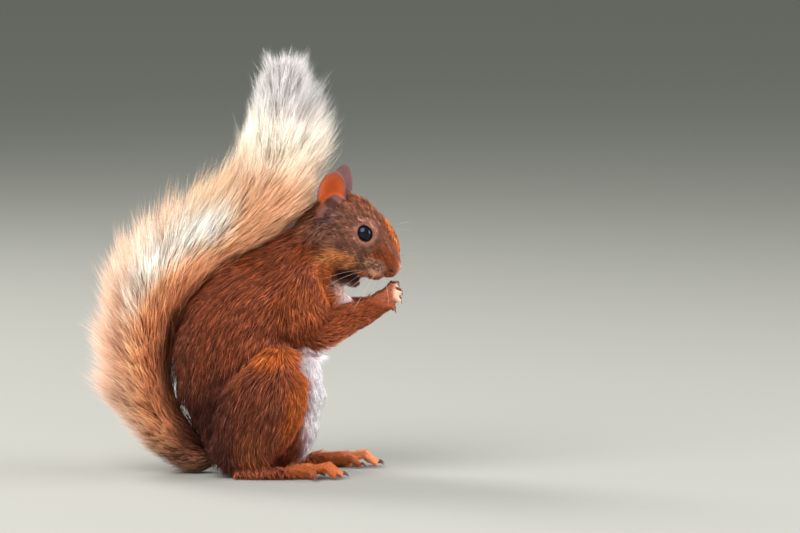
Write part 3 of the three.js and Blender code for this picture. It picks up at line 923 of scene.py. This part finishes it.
# %% Scatter roots over the skin
DRIFT_WAVES, WAVE_SPREAD, WAVE_START, WAVE_SUM = 8, 1.7, 7, 3


def scatter(density, seed):
    """Roots spread evenly over the faces, as a face and three shares of its corners each."""
    chance = np.random.default_rng(seed)
    total = np.cumsum(density[corners].mean(1) * face_areas)
    count = int(total[-1])
    face = np.searchsorted(total, np.arange(count) + chance.random(count))
    face = np.minimum(face, len(corners) - 1)
    share = chance.random((count, 2))
    share = np.where(share.sum(1, keepdims=True) > 1, 1 - share, share)
    return face, np.column_stack([1 - share.sum(1), share])


def blend(rows, face, shares):
    return np.einsum("nk,nk...->n...", shares, rows[corners[face]])


def drift(places, wave, seed):
    """A smooth value between about -1 and 1 that changes over a wave's length, in mm."""
    chance = np.random.default_rng(seed)
    turns = chance.normal(size=(DRIFT_WAVES, 3)) * (2 * math.pi / (wave * MM)) / WAVE_SPREAD
    return np.sin(places @ turns.T + chance.random(DRIFT_WAVES) * WAVE_START).sum(1) / WAVE_SUM


def unit(rows):
    return rows / (np.linalg.norm(rows, axis=-1, keepdims=True) + 1e-12)


def value_at(pairs, shares):
    """The value at each share, between the pairs of share and value given."""
    return np.interp(shares, *zip(*pairs))


def steps_along(length, rings, ahead, aside, angles):
    """A line's steps, each turned from ahead towards aside by its own angle."""
    forward, sideways = np.cos(angles)[:, :, None], np.sin(angles)[:, :, None]
    turned = ahead[:, None] * forward + aside[:, None] * sideways
    return (length / rings)[:, None, None] * turned


def walk(root, step):
    """The points that each line passes from its root, step by step."""
    return np.concatenate([root[:, None], root[:, None] + np.cumsum(step, axis=1)], axis=1)


# %% Gather tufts into locks
def gather(paths, share, pull, seed):
    """Bends each line's tip towards the nearest of a chosen few lines' tips."""
    leaders = np.flatnonzero(np.random.default_rng(seed + 500).random(len(paths)) < share)
    tree = KDTree(len(leaders))
    for row, leader in enumerate(leaders):
        tree.insert(paths[leader, 0], row)
    tree.balance()
    chosen = leaders[[tree.find(root)[1] for root in paths[:, 0]]]
    step = np.linspace(0, 1, paths.shape[1])[None, :, None]
    own_root = paths[:, :1] - paths[chosen, :1]
    towards = paths[chosen] + own_root * (1 - step) - paths
    return paths + towards * pull * step


# %% Grow one region of the coat
# A kind of tuft says how many rings it has, its width in millimetres, its length as a
# share of the combing lines', its lift off the skin at root and tip and its turn to the
# side in degrees. Tone and patchy vary its colour by tuft and by place, dark is the share
# of dark tufts, the shade at the root is painted shade for the shadow deep in the coat,
# and locks say how they gather.
DOWN = {  # ears: tiny flat hairs
    "rings": 1,
    "width": 0.16,
    "reach": 0.75,
    "lifts": (10, 10),
    "yaw": 10,
    "tone": 0.15,
    "dark": 0.05,
    "root_shade": 0.8,
    "patchy": (0.1, 2.0),
    "locks": None,
}
SLEEK = {  # face: short straight blades
    "rings": 1,
    "width": 0.29,
    "reach": 1.25,
    "lifts": (24, 24),
    "yaw": 8,
    "tone": 0.3,
    "dark": 0.25,
    "root_shade": 0.55,
    "patchy": (0.75, 2.2),
    "locks": None,
}
FINE = {  # hands and feet: finer ones
    **SLEEK,
    "width": 0.24,
    "lifts": (18, 18),
    "dark": 0.1,
    "patchy": (0.3, 2.0),
}
SHAGGY = {  # trunk, haunches and arms: long bent ones
    "rings": 2,
    "width": 0.36,
    "reach": 1.45,
    "lifts": (22, 8),
    "yaw": 7,
    "tone": 0.32,
    "dark": 0.1,
    "root_shade": 0.3,
    "patchy": (0.14, 4.0),
    "locks": (0.3, 0.28),
}
PALE = {  # chest and belly: even and soft
    **SHAGGY,
    "reach": 1.2,
    "lifts": (18, 6),
    "tone": 0.08,
    "dark": 0,
    "root_shade": 0.9,
    "patchy": (0.05, 3.0),
    "locks": (0.4, 0.12),
}
DARK_HAIR = 0.45
LENGTH_VARIES, WIDTH_VARIES = (0.7, 1.15), (0.7, 1.25)
YAW_WAVE, YAW_DRIFTS = 9, 1.2
LIFT_VARIES, LIFT_WAVE, LIFT_DRIFTS = 0.2, 7, 0.3
ROOT_SUNK = 0.12 * MM
BLADE = ((0, 0.8), (0.4, 1), (1, 0.3))
SHADE_RAMP = ((0, 0), (0.5, 0.8), (1, 1))
TIP_LIGHT = 1.25
ROOT_SHADE_SHARE = 0.9
BRIGHTEST = 0.97


def grow(name, density, kind, seed):
    """Tufts over the skin where the density is above 0, to so many a square millimetre."""
    chance = np.random.default_rng(seed)
    rings = kind["rings"]
    face, shares = scatter(density, seed)
    count = len(face)
    root = blend(places, face, shares)
    up = unit(blend(normals, face, shares))
    way = unit(blend(ways, face, shares))
    length = blend(lengths, face, shares) * MM * kind["reach"]
    length = length * chance.uniform(*LENGTH_VARIES, count)
    turn = chance.normal(size=count) + drift(root, YAW_WAVE, seed) * YAW_DRIFTS
    turn = np.radians(kind["yaw"]) * turn
    side = np.cross(up, way)
    way = unit(way * np.cos(turn)[:, None] + side * np.sin(turn)[:, None])
    lift = 1 + LIFT_VARIES * chance.normal(size=count)
    lift = lift + LIFT_DRIFTS * drift(root, LIFT_WAVE, seed + 1)
    lifts = np.radians(np.linspace(*kind["lifts"], rings))[None, :] * lift[:, None]
    paths = walk(root, steps_along(length, rings, way, up, lifts))
    paths[:, 0] -= up * ROOT_SUNK
    if kind["locks"]:
        paths = gather(paths, *kind["locks"], seed)
    shape = value_at(BLADE, np.arange(rings) / rings)
    broad = kind["width"] * MM * chance.uniform(*WIDTH_VARIES, count)[:, None] * shape[None, :]
    amount, wave = kind["patchy"]
    tones = np.exp(kind["tone"] * chance.normal(size=count) + amount * drift(root, wave, seed + 2))
    tones = np.where(chance.random(count) < kind["dark"], tones * DARK_HAIR, tones)
    tint = blend(tints, face, shares)
    # Painted shade: each tuft is darkened at its root for the shadow deep in the coat, pale hair
    # less so, and it grows lighter towards its tip.
    root_shade = kind["root_shade"] + (1 - kind["root_shade"]) * tint.mean(axis=1) * ROOT_SHADE_SHARE
    ramp = value_at(SHADE_RAMP, np.arange(rings + 1) / rings)
    shade = root_shade[:, None] + (TIP_LIGHT - root_shade[:, None]) * ramp[None, :]
    colours = tint[:, None] * tones[:, None, None] * shade[:, :, None]
    spots = np.einsum("nk,nkc->nc", shares, corner_maps[face])
    colours = np.clip(colours, 0, BRIGHTEST)
    return tuft_mesh(name, paths, broad, unit(np.cross(up, way)), colours, spots)


# %% [markdown]
# The coat is grown region by region. Face, ears, hands and feet have short single
# blades, set close. The trunk and haunches have longer bent ones, in locks. A region's
# edge is random, tuft by tuft, so it does not show as a line.

# %% Grow the coat of the body and head
FACE = ("brow", "crown", "muzzle", "lip", "cheek", "lids", "over_eye", "jaw", "chin")
HAUNCH = ("haunch", "haunch_low", "haunch_front", "haunch_in")
REGIONS = {  # combing lines, kind, cover, and most tufts a square millimetre
    "coat_head": (FACE, SLEEK, 11, 6.5),
    "coat_ears": (("ear",), DOWN, 14, 8.0),
    "coat_back": (("nape", "back", "rump"), SHAGGY, 17, 4.5),
    "coat_flanks": (("neck_side", "flank", "low_flank"), SHAGGY, 17, 4.5),
    "coat_belly": (("throat", "chest", "belly", "belly_side"), PALE, 17, 4.5),
    "coat_arms": (("shoulder", "forearm", "under_arm"), SHAGGY, 14, 4.5),
    "coat_haunches": (HAUNCH, SHAGGY, 16, 4.5),
    "coat_heels": (("heel", "ankle", "shin"), SHAGGY, 16, 4.5),
    "coat_feet": (("hand", "foot", "toes"), FINE, 9, 6.0),
}
EYE_BARE, EYE_DEEP = 5.3, 3
NOSE_BARE = ((28.0, 0, -4.6), 2.4)
SHORTEST = 0.5

bare = (eye_gap < EYE_BARE) & (head_places[:, 1] > EYE_AT[1] - EYE_DEEP)
bare |= np.linalg.norm(head_places - np.array(NOSE_BARE[0]), axis=1) < NOSE_BARE[1]
coat = []
for seed, (name, (lines, kind, cover, most)) in enumerate(REGIONS.items()):
    chosen = np.isin(nearest, [LINE_NAMES.index(line) for line in lines]) & ~bare
    crowding = np.minimum(cover / np.maximum(lengths, SHORTEST), most)
    coat.append(grow(name, crowding * chosen, kind, seed + 10))

# %% [markdown]
# ## The tail
# A squirrel's tail is a thin whip of bone that carries hairs as long as a finger. They
# leave it at a wide angle along its middle and a narrow one at its root and its plume.
# Each is aimed from the thin tail, and measured by a ray to the CAD outline, so the tips
# make nearly the same shape as the solids do, with the looser edge of real hair.

# %% Measure the tail's line
TAIL_STEP = 8

knots = np.array(TAIL_LINE, float)
knot_gaps = np.linalg.norm(np.diff(knots[:, :2], axis=0), axis=1)
knot_at = np.concatenate([[0], np.cumsum(knot_gaps)])
tail_length = knot_at[-1]


def tail_at(share):
    """Middle, forward way and radius of the thin tail at shares of its length."""
    reach = share * tail_length
    middle = np.zeros((len(share), 3))
    ahead = np.zeros((len(share), 3))
    for column, axis in ((0, 0), (1, 2)):
        middle[:, axis] = np.interp(reach, knot_at, knots[:, column])
        before = np.interp(reach - TAIL_STEP, knot_at, knots[:, column])
        after = np.interp(reach + TAIL_STEP, knot_at, knots[:, column])
        ahead[:, axis] = after - before
    return middle * MM, unit(ahead), np.interp(reach, knot_at, knots[:, 2]) / 2 * MM


print("thin tail:", round(tail_length), "mm")

# %% Wrap the tail's outline for rays
OUTLINE_CELL = 1.6 * MM

envelope = copy_of(TAIL, "tail_outline")
apply(envelope, "DISPLACE", strength=SWELL, mid_level=0)
apply(envelope, "REMESH", mode="VOXEL", voxel_size=OUTLINE_CELL)
apply(envelope, "SMOOTH", factor=0.5, iterations=6)
outline = BVHTree.FromObject(envelope, bpy.context.evaluated_depsgraph_get())
bpy.data.objects.remove(envelope)
print("rays meet an outline of", round(SWELL / MM, 1), "mm outside the solids")

# %% Lay out the tail's patches
# Along the tail as a share of its length, and across it from the middle, where 1 is the
# outer edge and the side of the back is below 0.
TAIL_PATCHES = {
    "all": ((0.5, 0), (2, 9), "tan", 1.0),
    "outer fringe": ((0.25, 1.1), (0.42, 0.85), "peach", 0.9),
    # Painted light: the middle of the tail is made cream where sunlight falls across it.
    "sunlit streak": ((0.53, 0.5), (0.2, 0.62), "cream", 1.0),
    # The side of the back runs from the tail's own fox and rust to dark bark: the darkening
    # towards the back is painted shade, where the body shades the tail.
    "warm side": ((0.3, -0.15), (0.5, 0.8), "fox", 1.0),
    "rust side": ((0.26, -0.4), (0.47, 0.72), "rust", 1.0),
    "shaded side": ((0.18, -0.65), (0.45, 0.72), "bark", 1.0),
    # Painted shade: the root of the tail is umber, in the shadow between the body and the floor.
    "root": ((0, 0), (0.16, 3), "umber", 0.8),
    "under the plume": ((0.71, -0.2), (0.13, 0.9), "fox", 0.5),
    "plume": ((1.02, 0), (0.27, 4), "ivory", 1.0),
    "plume tip": ((1.1, 0), (0.24, 4), "snow", 1.0),
}
TAIL_SPREAD = 27
LINE_SAMPLES = 300

sample_shares = np.linspace(0, 1, LINE_SAMPLES)
sample_middles, sample_ways, _ = tail_at(sample_shares)
line_tree = KDTree(LINE_SAMPLES)
for row, middle in enumerate(sample_middles):
    line_tree.insert(middle, row)
line_tree.balance()


def tail_painted(places):
    """The tail's colour at each place, with its painted light and shade."""
    flat = places * (1, 0, 1)
    rows = np.array([line_tree.find(place)[1] for place in flat])
    gap, way = flat - sample_middles[rows], sample_ways[rows]
    across = (gap[:, 2] * way[:, 0] - gap[:, 0] * way[:, 2]) / MM / TAIL_SPREAD
    along = sample_shares[rows] + (gap * way).sum(1) / MM / tail_length
    rows = np.column_stack([along, across])
    return lay_patches(np.ones((len(places), 3)), rows, TAIL_PATCHES)


# %% Name the tail's angles and lengths
# Each pair is a share of the tail's length and the value there. The inner side is that
# of the back, and the outer side the far one.
TAIL_ANGLES = ((0, 20), (0.06, 50), (0.25, 60), (0.45, 52), (0.65, 44), (0.8, 38), (1, 40))
INNER_ANGLE = ((0, 1), (0.1, 0.4), (0.55, 0.4), (0.72, 0.8), (0.85, 1), (1, 1))
TAIL_REACH = ((0, 1.0), (0.75, 1.02), (0.9, 1.04), (1, 1.15))
INNER_REACH = ((0.4, 1), (0.5, 1.25), (0.58, 1.5), (0.67, 1.5), (0.72, 1.15), (0.8, 0.96))
INNER_REACH += ((0.9, 0.94), (1, 0.88))
OUTER_REACH = ((0.12, 1), (0.2, 1.2), (0.33, 1.2), (0.45, 1.12), (0.52, 1.08), (0.6, 0.92))
OUTER_REACH += ((0.75, 0.9), (0.92, 1), (1, 0.92))
MOST_REACH = 1.34
TIP_CREST = ((0.8, 0), (1, 0.3))
CREST_ANGLE = 0.28
RUMP_GAP = ((0, 0.2), (0.05, 0.55), (0.16, 0.6), (0.24, 0.2), (0.3, 0))
WISPS = ((0, 0.07), (0.7, 0.09), (1, 0.18))
SHORT_SHARE = 0.3
HAIR_SPANS = ((0.6, 0.95), (0.9, 1.05), (1.04, 1.22))  # short, common and wispy
REACH_PATCHY, REACH_WAVE = 0.13, 7
NO_HIT = 4 * MM
LONGEST = 52 * MM
print("a ray counts for", round(LONGEST / MM), "mm at the most")


# %% Measure the tail's hairs
def ray_lengths(roots, aims):
    """How far it is from each root along its aim to the tail's outline."""
    reach = np.empty(len(roots))
    for row, (root, aim) in enumerate(zip(roots, aims)):
        hit = outline.ray_cast(Vector(root), Vector(aim))
        reach[row] = hit[3] if hit[0] else NO_HIT
    return reach


def hair_scales(chance, share, turn, angle, places, seed):
    """Each hair's length as a share of its ray's, from short under-hair to long wisps."""
    kind = chance.random(len(share))
    short, common, wispy = (chance.uniform(*span, len(share)) for span in HAIR_SPANS)
    scale = np.where(kind < SHORT_SHARE, short, common)
    scale = np.where(kind > 1 - value_at(WISPS, share), wispy, scale)
    outer, inner = np.clip(np.cos(turn), 0, 1), np.clip(-np.cos(turn), 0, 1)
    scale *= 1 + outer * (value_at(OUTER_REACH, share) - 1)
    scale *= 1 + value_at(TIP_CREST, share) * np.exp(-((angle / CREST_ANGLE) ** 2))
    scale *= 1 + REACH_PATCHY * drift(places, REACH_WAVE, seed)
    scale = np.minimum(scale, MOST_REACH)
    scale *= value_at(TAIL_REACH, share) * (1 - inner * value_at(RUMP_GAP, share))
    return scale * (1 + inner * (value_at(INNER_REACH, share) - 1))


# %% Keep the hair off the ears
EARS_FROM, EARS_TOP, EARS_APART = 35 * MM, 152 * MM, 4 * MM
LEAST_ROOM = 0.4


def clear_of_ears(paths):
    """Shortens the hairs that would lie across an ear, so that they end behind it."""
    root = paths[:, 0]
    furthest = paths[:, :, 0].max(axis=1)
    room = (EARS_FROM - root[:, 0]) / np.maximum(furthest - root[:, 0], MM)
    beside = (paths[:, -2, 2] < EARS_TOP) & (np.abs(paths[:, -1, 1]) > EARS_APART)
    room = np.where(beside, np.clip(room, LEAST_ROOM, 1), 1)
    return root[:, None] + (paths - root[:, None]) * room[:, None, None]


# %% Grow the tail's hair
STRAND_RINGS = 3
STRAND_SHAPE = np.array([0.8, 1.0, 0.6])
STRAND_WIDTHS = (0.6, 1.25)
STRAND_SHADE = ((0, 0.75), (0.6, 1), (1, 1.1))
STRAND_TONE, TONE_PATCHY, TONE_WAVE = 0.2, 0.12, 10
ANGLE_VARIES, ANGLE_WAVE, ANGLE_LIMITS = 6, 14, (4, 80)
HAIR_MIDDLE = 20
SWAY = 0.16
ROOT_DEPTH = 0.8
BEND, BEND_VARIES = math.radians(12), 0.6
WANDER = 0.08
COLOUR_STRAY = 3.5
TAIL_LOCKS = (0.1, 0.5)


def grow_tail(name, start, end, count, crowd, width, seed):
    """Long hair on the thin tail between two shares of its length."""
    chance = np.random.default_rng(seed)
    share = start + (end - start) * chance.random(count) ** crowd
    middle, ahead, radius = tail_at(share)
    outward = np.column_stack([-ahead[:, 2], np.zeros(count), ahead[:, 0]])
    turn = chance.uniform(0, 2 * math.pi, count)
    around = outward * np.cos(turn)[:, None]
    around[:, 1] += np.sin(turn)
    narrow = (1 - value_at(INNER_ANGLE, share)) * np.clip(-np.cos(turn), 0, 1)
    by_place = drift(middle + around * HAIR_MIDDLE * MM, ANGLE_WAVE, seed)
    open_angle = value_at(TAIL_ANGLES, share) * (1 - narrow)
    open_angle += ANGLE_VARIES * chance.normal(size=count) + ANGLE_VARIES * by_place
    angle = np.radians(np.clip(open_angle, *ANGLE_LIMITS))
    sway = np.cross(ahead, around)
    around = unit(around + sway * SWAY * chance.normal(size=count)[:, None])
    root = middle + around * radius[:, None] * ROOT_DEPTH
    aim = ahead * np.cos(angle)[:, None] + around * np.sin(angle)[:, None]
    scale = hair_scales(chance, share, turn, angle, root + aim * HAIR_MIDDLE * MM, seed)
    hair = np.minimum(ray_lengths(root, aim), LONGEST) * scale
    bends = np.linspace(1, -1, STRAND_RINGS)[None, :] * BEND
    bends = bends * (1 + BEND_VARIES * chance.normal(size=(count, 1)))
    step = steps_along(hair, STRAND_RINGS, ahead, around, angle[:, None] + bends)
    wander = chance.normal(size=(count, STRAND_RINGS, 3)) * WANDER
    step = step + wander * np.linalg.norm(step, axis=2, keepdims=True)
    paths = clear_of_ears(gather(walk(root, step), *TAIL_LOCKS, seed))
    broad = width * MM * chance.uniform(*STRAND_WIDTHS, count)[:, None] * STRAND_SHAPE[None, :]
    tones = STRAND_TONE * chance.normal(size=count)
    tones = np.exp(tones + TONE_PATCHY * drift(root, TONE_WAVE, seed + 1))
    # Painted shade: each hair darkens towards its root, for the shadow inside the dense tail.
    tones = tones[:, None] * value_at(STRAND_SHADE, np.linspace(0, 1, STRAND_RINGS + 1))
    stray = chance.normal(size=(count, 1, 1))
    shifted = paths + around[:, None] * stray * COLOUR_STRAY * MM
    colours = tail_painted(shifted.reshape(-1, 3)).reshape(count, -1, 3)
    colours = np.clip(colours * tones[:, :, None], 0, BRIGHTEST)
    return tuft_mesh(name, paths, broad, unit(sway), colours, map_spots(root))


# %% Find each hair's place on the map
skin_tree = BVHTree.FromPolygons([Vector(row) for row in places], corners.tolist())
corner_middles = corner_maps.mean(axis=1)


def map_spots(roots):
    """The map place of the skin's face nearest to each root."""
    faces = [skin_tree.find_nearest(Vector(root))[2] for root in roots]
    return corner_middles[faces]


TAIL_PIECES = {  # from and to as shares, hairs, crowding to the start, width
    "tail_hair_root": (0.0, 0.22, 8000, 1, 0.42),
    "tail_hair_low": (0.20, 0.42, 8500, 1, 0.42),
    "tail_hair_bend": (0.40, 0.62, 9000, 1, 0.42),
    "tail_hair_high": (0.60, 0.82, 9000, 1, 0.40),
    "tail_hair_plume": (0.80, 1.0, 7000, 1.5, 0.28),
}
tail_coat = [
    grow_tail(name, *settings, seed + 40)
    for seed, (name, settings) in enumerate(TAIL_PIECES.items())
]

# %% [markdown]
# ## Whiskers
# Whiskers are single stiff hairs, far longer than the coat, in rows on the pads, with a
# few over the eye and under the chin. Each is a long blade of five rings that droops.

# %% Grow the whiskers
WHISKERS = [  # root and way in the head's frame, length in millimetres
    ((23.5, 4.5, -4.5), (0.9, 0.5, 0.15), 17),
    ((22.5, 5.5, -6.5), (0.75, 0.9, -0.35), 22),
    ((20.5, 6.5, -5.0), (0.15, 1.0, 0.45), 27),
    ((20.0, 7.0, -7.0), (0.05, 1.0, -0.05), 30),
    ((19.5, 7.0, -9.0), (0.0, 1.0, -0.6), 26),
    ((17.5, 7.5, -5.5), (-0.45, 1.0, 0.3), 33),
    ((17.0, 8.0, -7.5), (-0.5, 1.0, -0.1), 35),
    ((16.5, 8.0, -9.5), (-0.4, 0.8, -0.7), 27),
    ((14.5, 8.0, -8.5), (-0.9, 0.9, -0.25), 28),
    ((14.0, 7.8, -10.5), (-0.7, 0.7, -0.9), 19),
    ((17.0, 6.0, 12.0), (0.75, 0.35, 0.75), 14),
    ((15.0, 6.8, 13.0), (0.6, 0.55, 0.85), 17),
    ((24.5, 3.0, 1.5), (0.75, 0.3, 0.9), 17),
    ((4.0, 6.0, -21.0), (0.2, 0.5, -0.9), 12),
]
WHISKER_RINGS = 5
WHISKER_WIDE = 0.24
WHISKER_TAPER = 0.45
WHISKER_DROOP = 0.3
WHISKER_SUNK = 1.5
WHISKER_COLOURS = ((0.10, 0.06, 0.05), (0.62, 0.50, 0.40))

steps = np.linspace(0, 1, WHISKER_RINGS + 1)
paths, sides = [], []
for sign in SIDES.values():
    for (x, y, z), (ahead, out, up), length in WHISKERS:
        start = Vector((x, sign * y, z))
        way = Vector((ahead, sign * out, up)).normalized()
        start = start - way * WHISKER_SUNK
        points = [start + way * length * step for step in steps]
        droops = [Vector((0, 0, WHISKER_DROOP * length * step**2)) for step in steps]
        paths.append([list(from_head(p - droop)) for p, droop in zip(points, droops)])
        sides.append(list(head_turned.to_3x3() @ way.cross((0, 0, 1)).normalized()))
paths = np.array(paths)
taper = np.linspace(1, WHISKER_TAPER, WHISKER_RINGS)
widths = WHISKER_WIDE * MM * np.tile(taper, (len(paths), 1))
mixes = steps[None, :, None] ** 0.5
colours = np.array(WHISKER_COLOURS[0]) * (1 - mixes) + np.array(WHISKER_COLOURS[1]) * mixes
colours = np.repeat(colours, len(paths), axis=0)
spots = map_spots(paths[:, 0])
coat.append(tuft_mesh("whiskers", paths, widths, np.array(sides), colours, spots))

# %% [markdown]
# ## Fur's finish
# Hair shows its colour, with the painted shade at its roots, and a dull shine. Its colour
# is stored at each point of the mesh, and a fine noise in the material varies it from hair
# to hair. The bare skin has the same colours, darker as painted shade since it shows only
# in the gaps of the coat, and a bump of small pores.


# %% Mix the finish of the hair and the skin
def noise_on(nodes, links, size, detail):
    """A noise that keeps its place on the piece."""
    where = add_node(nodes, "ShaderNodeTexCoord")
    noise = add_node(nodes, "ShaderNodeTexNoise", Scale=size, Detail=detail)
    links.new(where.outputs["Object"], noise.inputs["Vector"])
    return noise


def fur_material(name, roughness, speckle, size):
    material, nodes, links, shader = new_material(name)
    colour = add_node(nodes, "ShaderNodeAttribute", attribute_name="coat")
    noise = noise_on(nodes, links, size, 3)
    level = add_node(nodes, "ShaderNodeMapRange")
    level.inputs["To Min"].default_value = 1 - speckle
    level.inputs["To Max"].default_value = 1 + speckle
    vary = add_node(nodes, "ShaderNodeVectorMath", operation="SCALE")
    links.new(noise.outputs["Fac"], level.inputs["Value"])
    links.new(colour.outputs["Color"], vary.inputs[0])
    links.new(level.outputs["Result"], vary.inputs["Scale"])
    links.new(vary.outputs["Vector"], shader.inputs["Base Color"])
    shader.inputs["Roughness"].default_value = roughness
    shader.inputs["Specular IOR Level"].default_value = HAIR_SHINE
    return material, nodes, links, shader


HAIR_SHINE = 0.25
PORE_SIZE, PORE_DETAIL = 2500, 2

coat_finish = fur_material("hair", roughness=0.55, speckle=0.25, size=900)[0]
tail_finish = fur_material("tail_hair", roughness=0.6, speckle=0.12, size=300)[0]
skin_finish, nodes, links, shader = fur_material("hide", roughness=0.75, speckle=0.3, size=1500)
pores = noise_on(nodes, links, PORE_SIZE, PORE_DETAIL)
bump = add_node(nodes, "ShaderNodeBump", Strength=0.6, Distance=0.0004)
links.new(pores.outputs["Fac"], bump.inputs["Height"])
links.new(bump.outputs["Normal"], shader.inputs["Normal"])
for piece in coat:
    wear(piece, coat_finish)
for piece in tail_coat:
    wear(piece, tail_finish)
wear(skin, skin_finish)
print("furred pieces:", len(coat) + len(tail_coat))

# %% [markdown]
# ## Eyes
# The eye is a wet black ball, set deep enough for the lids to hold it. The bare black
# edge of the lids is painted on the skin.


# %% Model the eyes
def make_eye(side):
    x, y, z = EYE_AT
    turned = head_matrix @ Matrix.Translation(Vector((x, SIDES[side] * y, z)) * MM)
    facing = Matrix.Rotation(math.radians(-90 * SIDES[side]), 4, "X")
    bpy.ops.object.select_all(action="DESELECT")
    bpy.ops.mesh.primitive_uv_sphere_add(**SMOOTH_BALL, radius=EYE_RADIUS * MM)
    ball = bpy.context.object
    ball.name = f"eyeball_{side}"
    ball.data.transform(turned @ facing)
    bpy.ops.object.shade_smooth()
    return ball


eyes = {side: make_eye(side) for side in SIDES}
eye_finish, nodes, links, shader = new_material("wet_eye")
shader.inputs["Base Color"].default_value = (0.004, 0.004, 0.007, 1)
shader.inputs["Roughness"].default_value = 0.05
shader.inputs["Specular IOR Level"].default_value = 0.3
shader.inputs["Specular Tint"].default_value = (0.6, 0.75, 1.0, 1)
for ball in eyes.values():
    wear(ball, eye_finish)
print("eyeballs:", len(eyes), "of", EYE_RADIUS, "mm radius")

# %% [markdown]
# ## Claws and teeth
# A claw is a narrow horn hook. One is modelled along an arc and copied to each finger
# and toe, fitted to its CAD cone.

# %% Model one claw
CLAW_STEPS = 6
CLAW_SIDES = 10
CLAW_ROOT = 0.19
CLAW_RISE = 0.3
CLAW_CURL = math.radians(62)
CLAW_TAPER, CLAW_POINT = 0.8, 0.04

bpy.ops.object.select_all(action="DESELECT")
bpy.ops.mesh.primitive_circle_add(
    vertices=CLAW_SIDES,
    radius=CLAW_ROOT,
    fill_type="NGON",
    rotation=(0, math.pi / 2, 0),
)
claw = bpy.context.object
claw.name = "claw_model"
bpy.ops.object.transform_apply()
bpy.ops.object.mode_set(mode="EDIT")
bpy.ops.mesh.select_all(action="SELECT")
heading, tip = CLAW_RISE, Vector((0, 0, 0))
for step in range(CLAW_STEPS):
    heading -= CLAW_CURL / CLAW_STEPS
    move = Vector((math.cos(heading), 0, math.sin(heading))) / CLAW_STEPS
    tip += move
    bpy.ops.mesh.extrude_region_move(TRANSFORM_OT_translate={"value": move})
    left = 1 - (step + 1) / CLAW_STEPS
    before = 1 - step / CLAW_STEPS
    size = (left**CLAW_TAPER + CLAW_POINT) / (before**CLAW_TAPER + CLAW_POINT)
    bpy.ops.transform.resize(value=(size,) * 3, center_override=tip)
bpy.ops.mesh.select_all(action="SELECT")
bpy.ops.mesh.normals_make_consistent(inside=False)
bpy.ops.object.mode_set(mode="OBJECT")
bpy.ops.object.shade_smooth()
print("claw:", len(claw.data.polygons), "faces")


# %% Fit a claw to each CAD cone
CLAW_SHARES = {"toe": 0.68, "hand": 0.5}
NEAR_END, BASE_BAND, CLAW_SUNK = 1.2 * MM, 0.7 * MM, 0.5 * MM


def width_near(rows, end):
    """How wide a cone is close to one of its ends."""
    return np.ptp(rows[np.linalg.norm(rows - end, axis=1) < NEAR_END], axis=0).max()


def fit_claw(node):
    rows = numbers(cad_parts[node].data.vertices, "co", 3)
    one = rows[np.argmax(np.linalg.norm(rows - rows.mean(0), axis=1))]
    other = rows[np.argmax(np.linalg.norm(rows - one, axis=1))]
    tip_row = one if width_near(rows, one) < width_near(rows, other) else other
    gaps = np.linalg.norm(rows - tip_row, axis=1)
    base = rows[gaps > gaps.max() - BASE_BAND].mean(0)
    out = Vector(tip_row - base)
    ahead = out.normalized()
    side = ahead.cross(Vector((0, 0, 1))).normalized()
    up = side.cross(ahead)
    turned = Matrix((ahead, -side, up)).transposed().to_4x4()
    piece = claw.copy()
    piece.data = claw.data.copy()
    piece.name = f"horn_{node}"
    bpy.context.collection.objects.link(piece)
    root = Vector(base) - ahead * CLAW_SUNK
    share = CLAW_SHARES["toe" if "toe" in node else "hand"]
    size = Matrix.Scale(share * out.length + CLAW_SUNK, 4)
    piece.data.transform(Matrix.Translation(root) @ turned @ size)
    piece.data.update()
    return piece


CLAW_NODES = [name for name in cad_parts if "claw" in name]
claws = {node: fit_claw(node) for node in CLAW_NODES}
bpy.data.objects.remove(claw)
print("claws:", len(claws))

# %% Round the teeth
TOOTH_SHIFTS = {"teeth_upper": Vector((0, 0, 1.6)), "teeth_lower": Vector((-1.5, 0, -0.6))}

teeth = {}
for node in TOOTH_SHIFTS:
    teeth[node] = copy_of([node], f"{node}_enamel")
    teeth[node].data.transform(Matrix.Translation(TOOTH_SHIFTS[node] * MM))
    apply(teeth[node], "SUBSURF", levels=1, render_levels=1)
    bpy.ops.object.shade_smooth()
print("teeth:", ", ".join(teeth))

# %% Finish the horn and the enamel
def mottled(name, size, detail, dark, light, roughness):
    """A finish whose colour wanders between two."""
    material, nodes, links, shader = new_material(name)
    noise = noise_on(nodes, links, size, detail)
    ramp = add_node(nodes, "ShaderNodeValToRGB")
    for stop, colour in zip(ramp.color_ramp.elements, (dark, light)):
        stop.color = (*colour, 1)
    links.new(noise.outputs["Fac"], ramp.inputs["Fac"])
    links.new(ramp.outputs["Color"], shader.inputs["Base Color"])
    shader.inputs["Roughness"].default_value = roughness
    return material


HORN_COLOURS = ((0.045, 0.022, 0.014), (0.130, 0.075, 0.050))
ENAMEL_COLOURS = ((0.70, 0.36, 0.10), (0.82, 0.58, 0.28))

horn = mottled("horn", 700, 3, *HORN_COLOURS, roughness=0.3)
enamel = mottled("enamel", 500, 2, *ENAMEL_COLOURS, roughness=0.25)
for piece in claws.values():
    wear(piece, horn)
for piece in teeth.values():
    wear(piece, enamel)
print("finishes:", horn.name, enamel.name)

# %% [markdown]
# ## Hide the CAD parts
# The CAD nodes that the new pieces stand for are hidden, and each piece rides on the one
# body.

skin.name = "hide"
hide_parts(*FLESH, *EARS, *TAIL)
for side, ball in eyes.items():
    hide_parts(f"eye_{side}")
for kind, pieces in (("claw", claws), ("tooth", teeth)):
    for node, piece in pieces.items():
        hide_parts(node)
for piece in [skin, *coat, *tail_coat, *eyes.values(), *claws.values(), *teeth.values()]:
    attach(piece, "root")
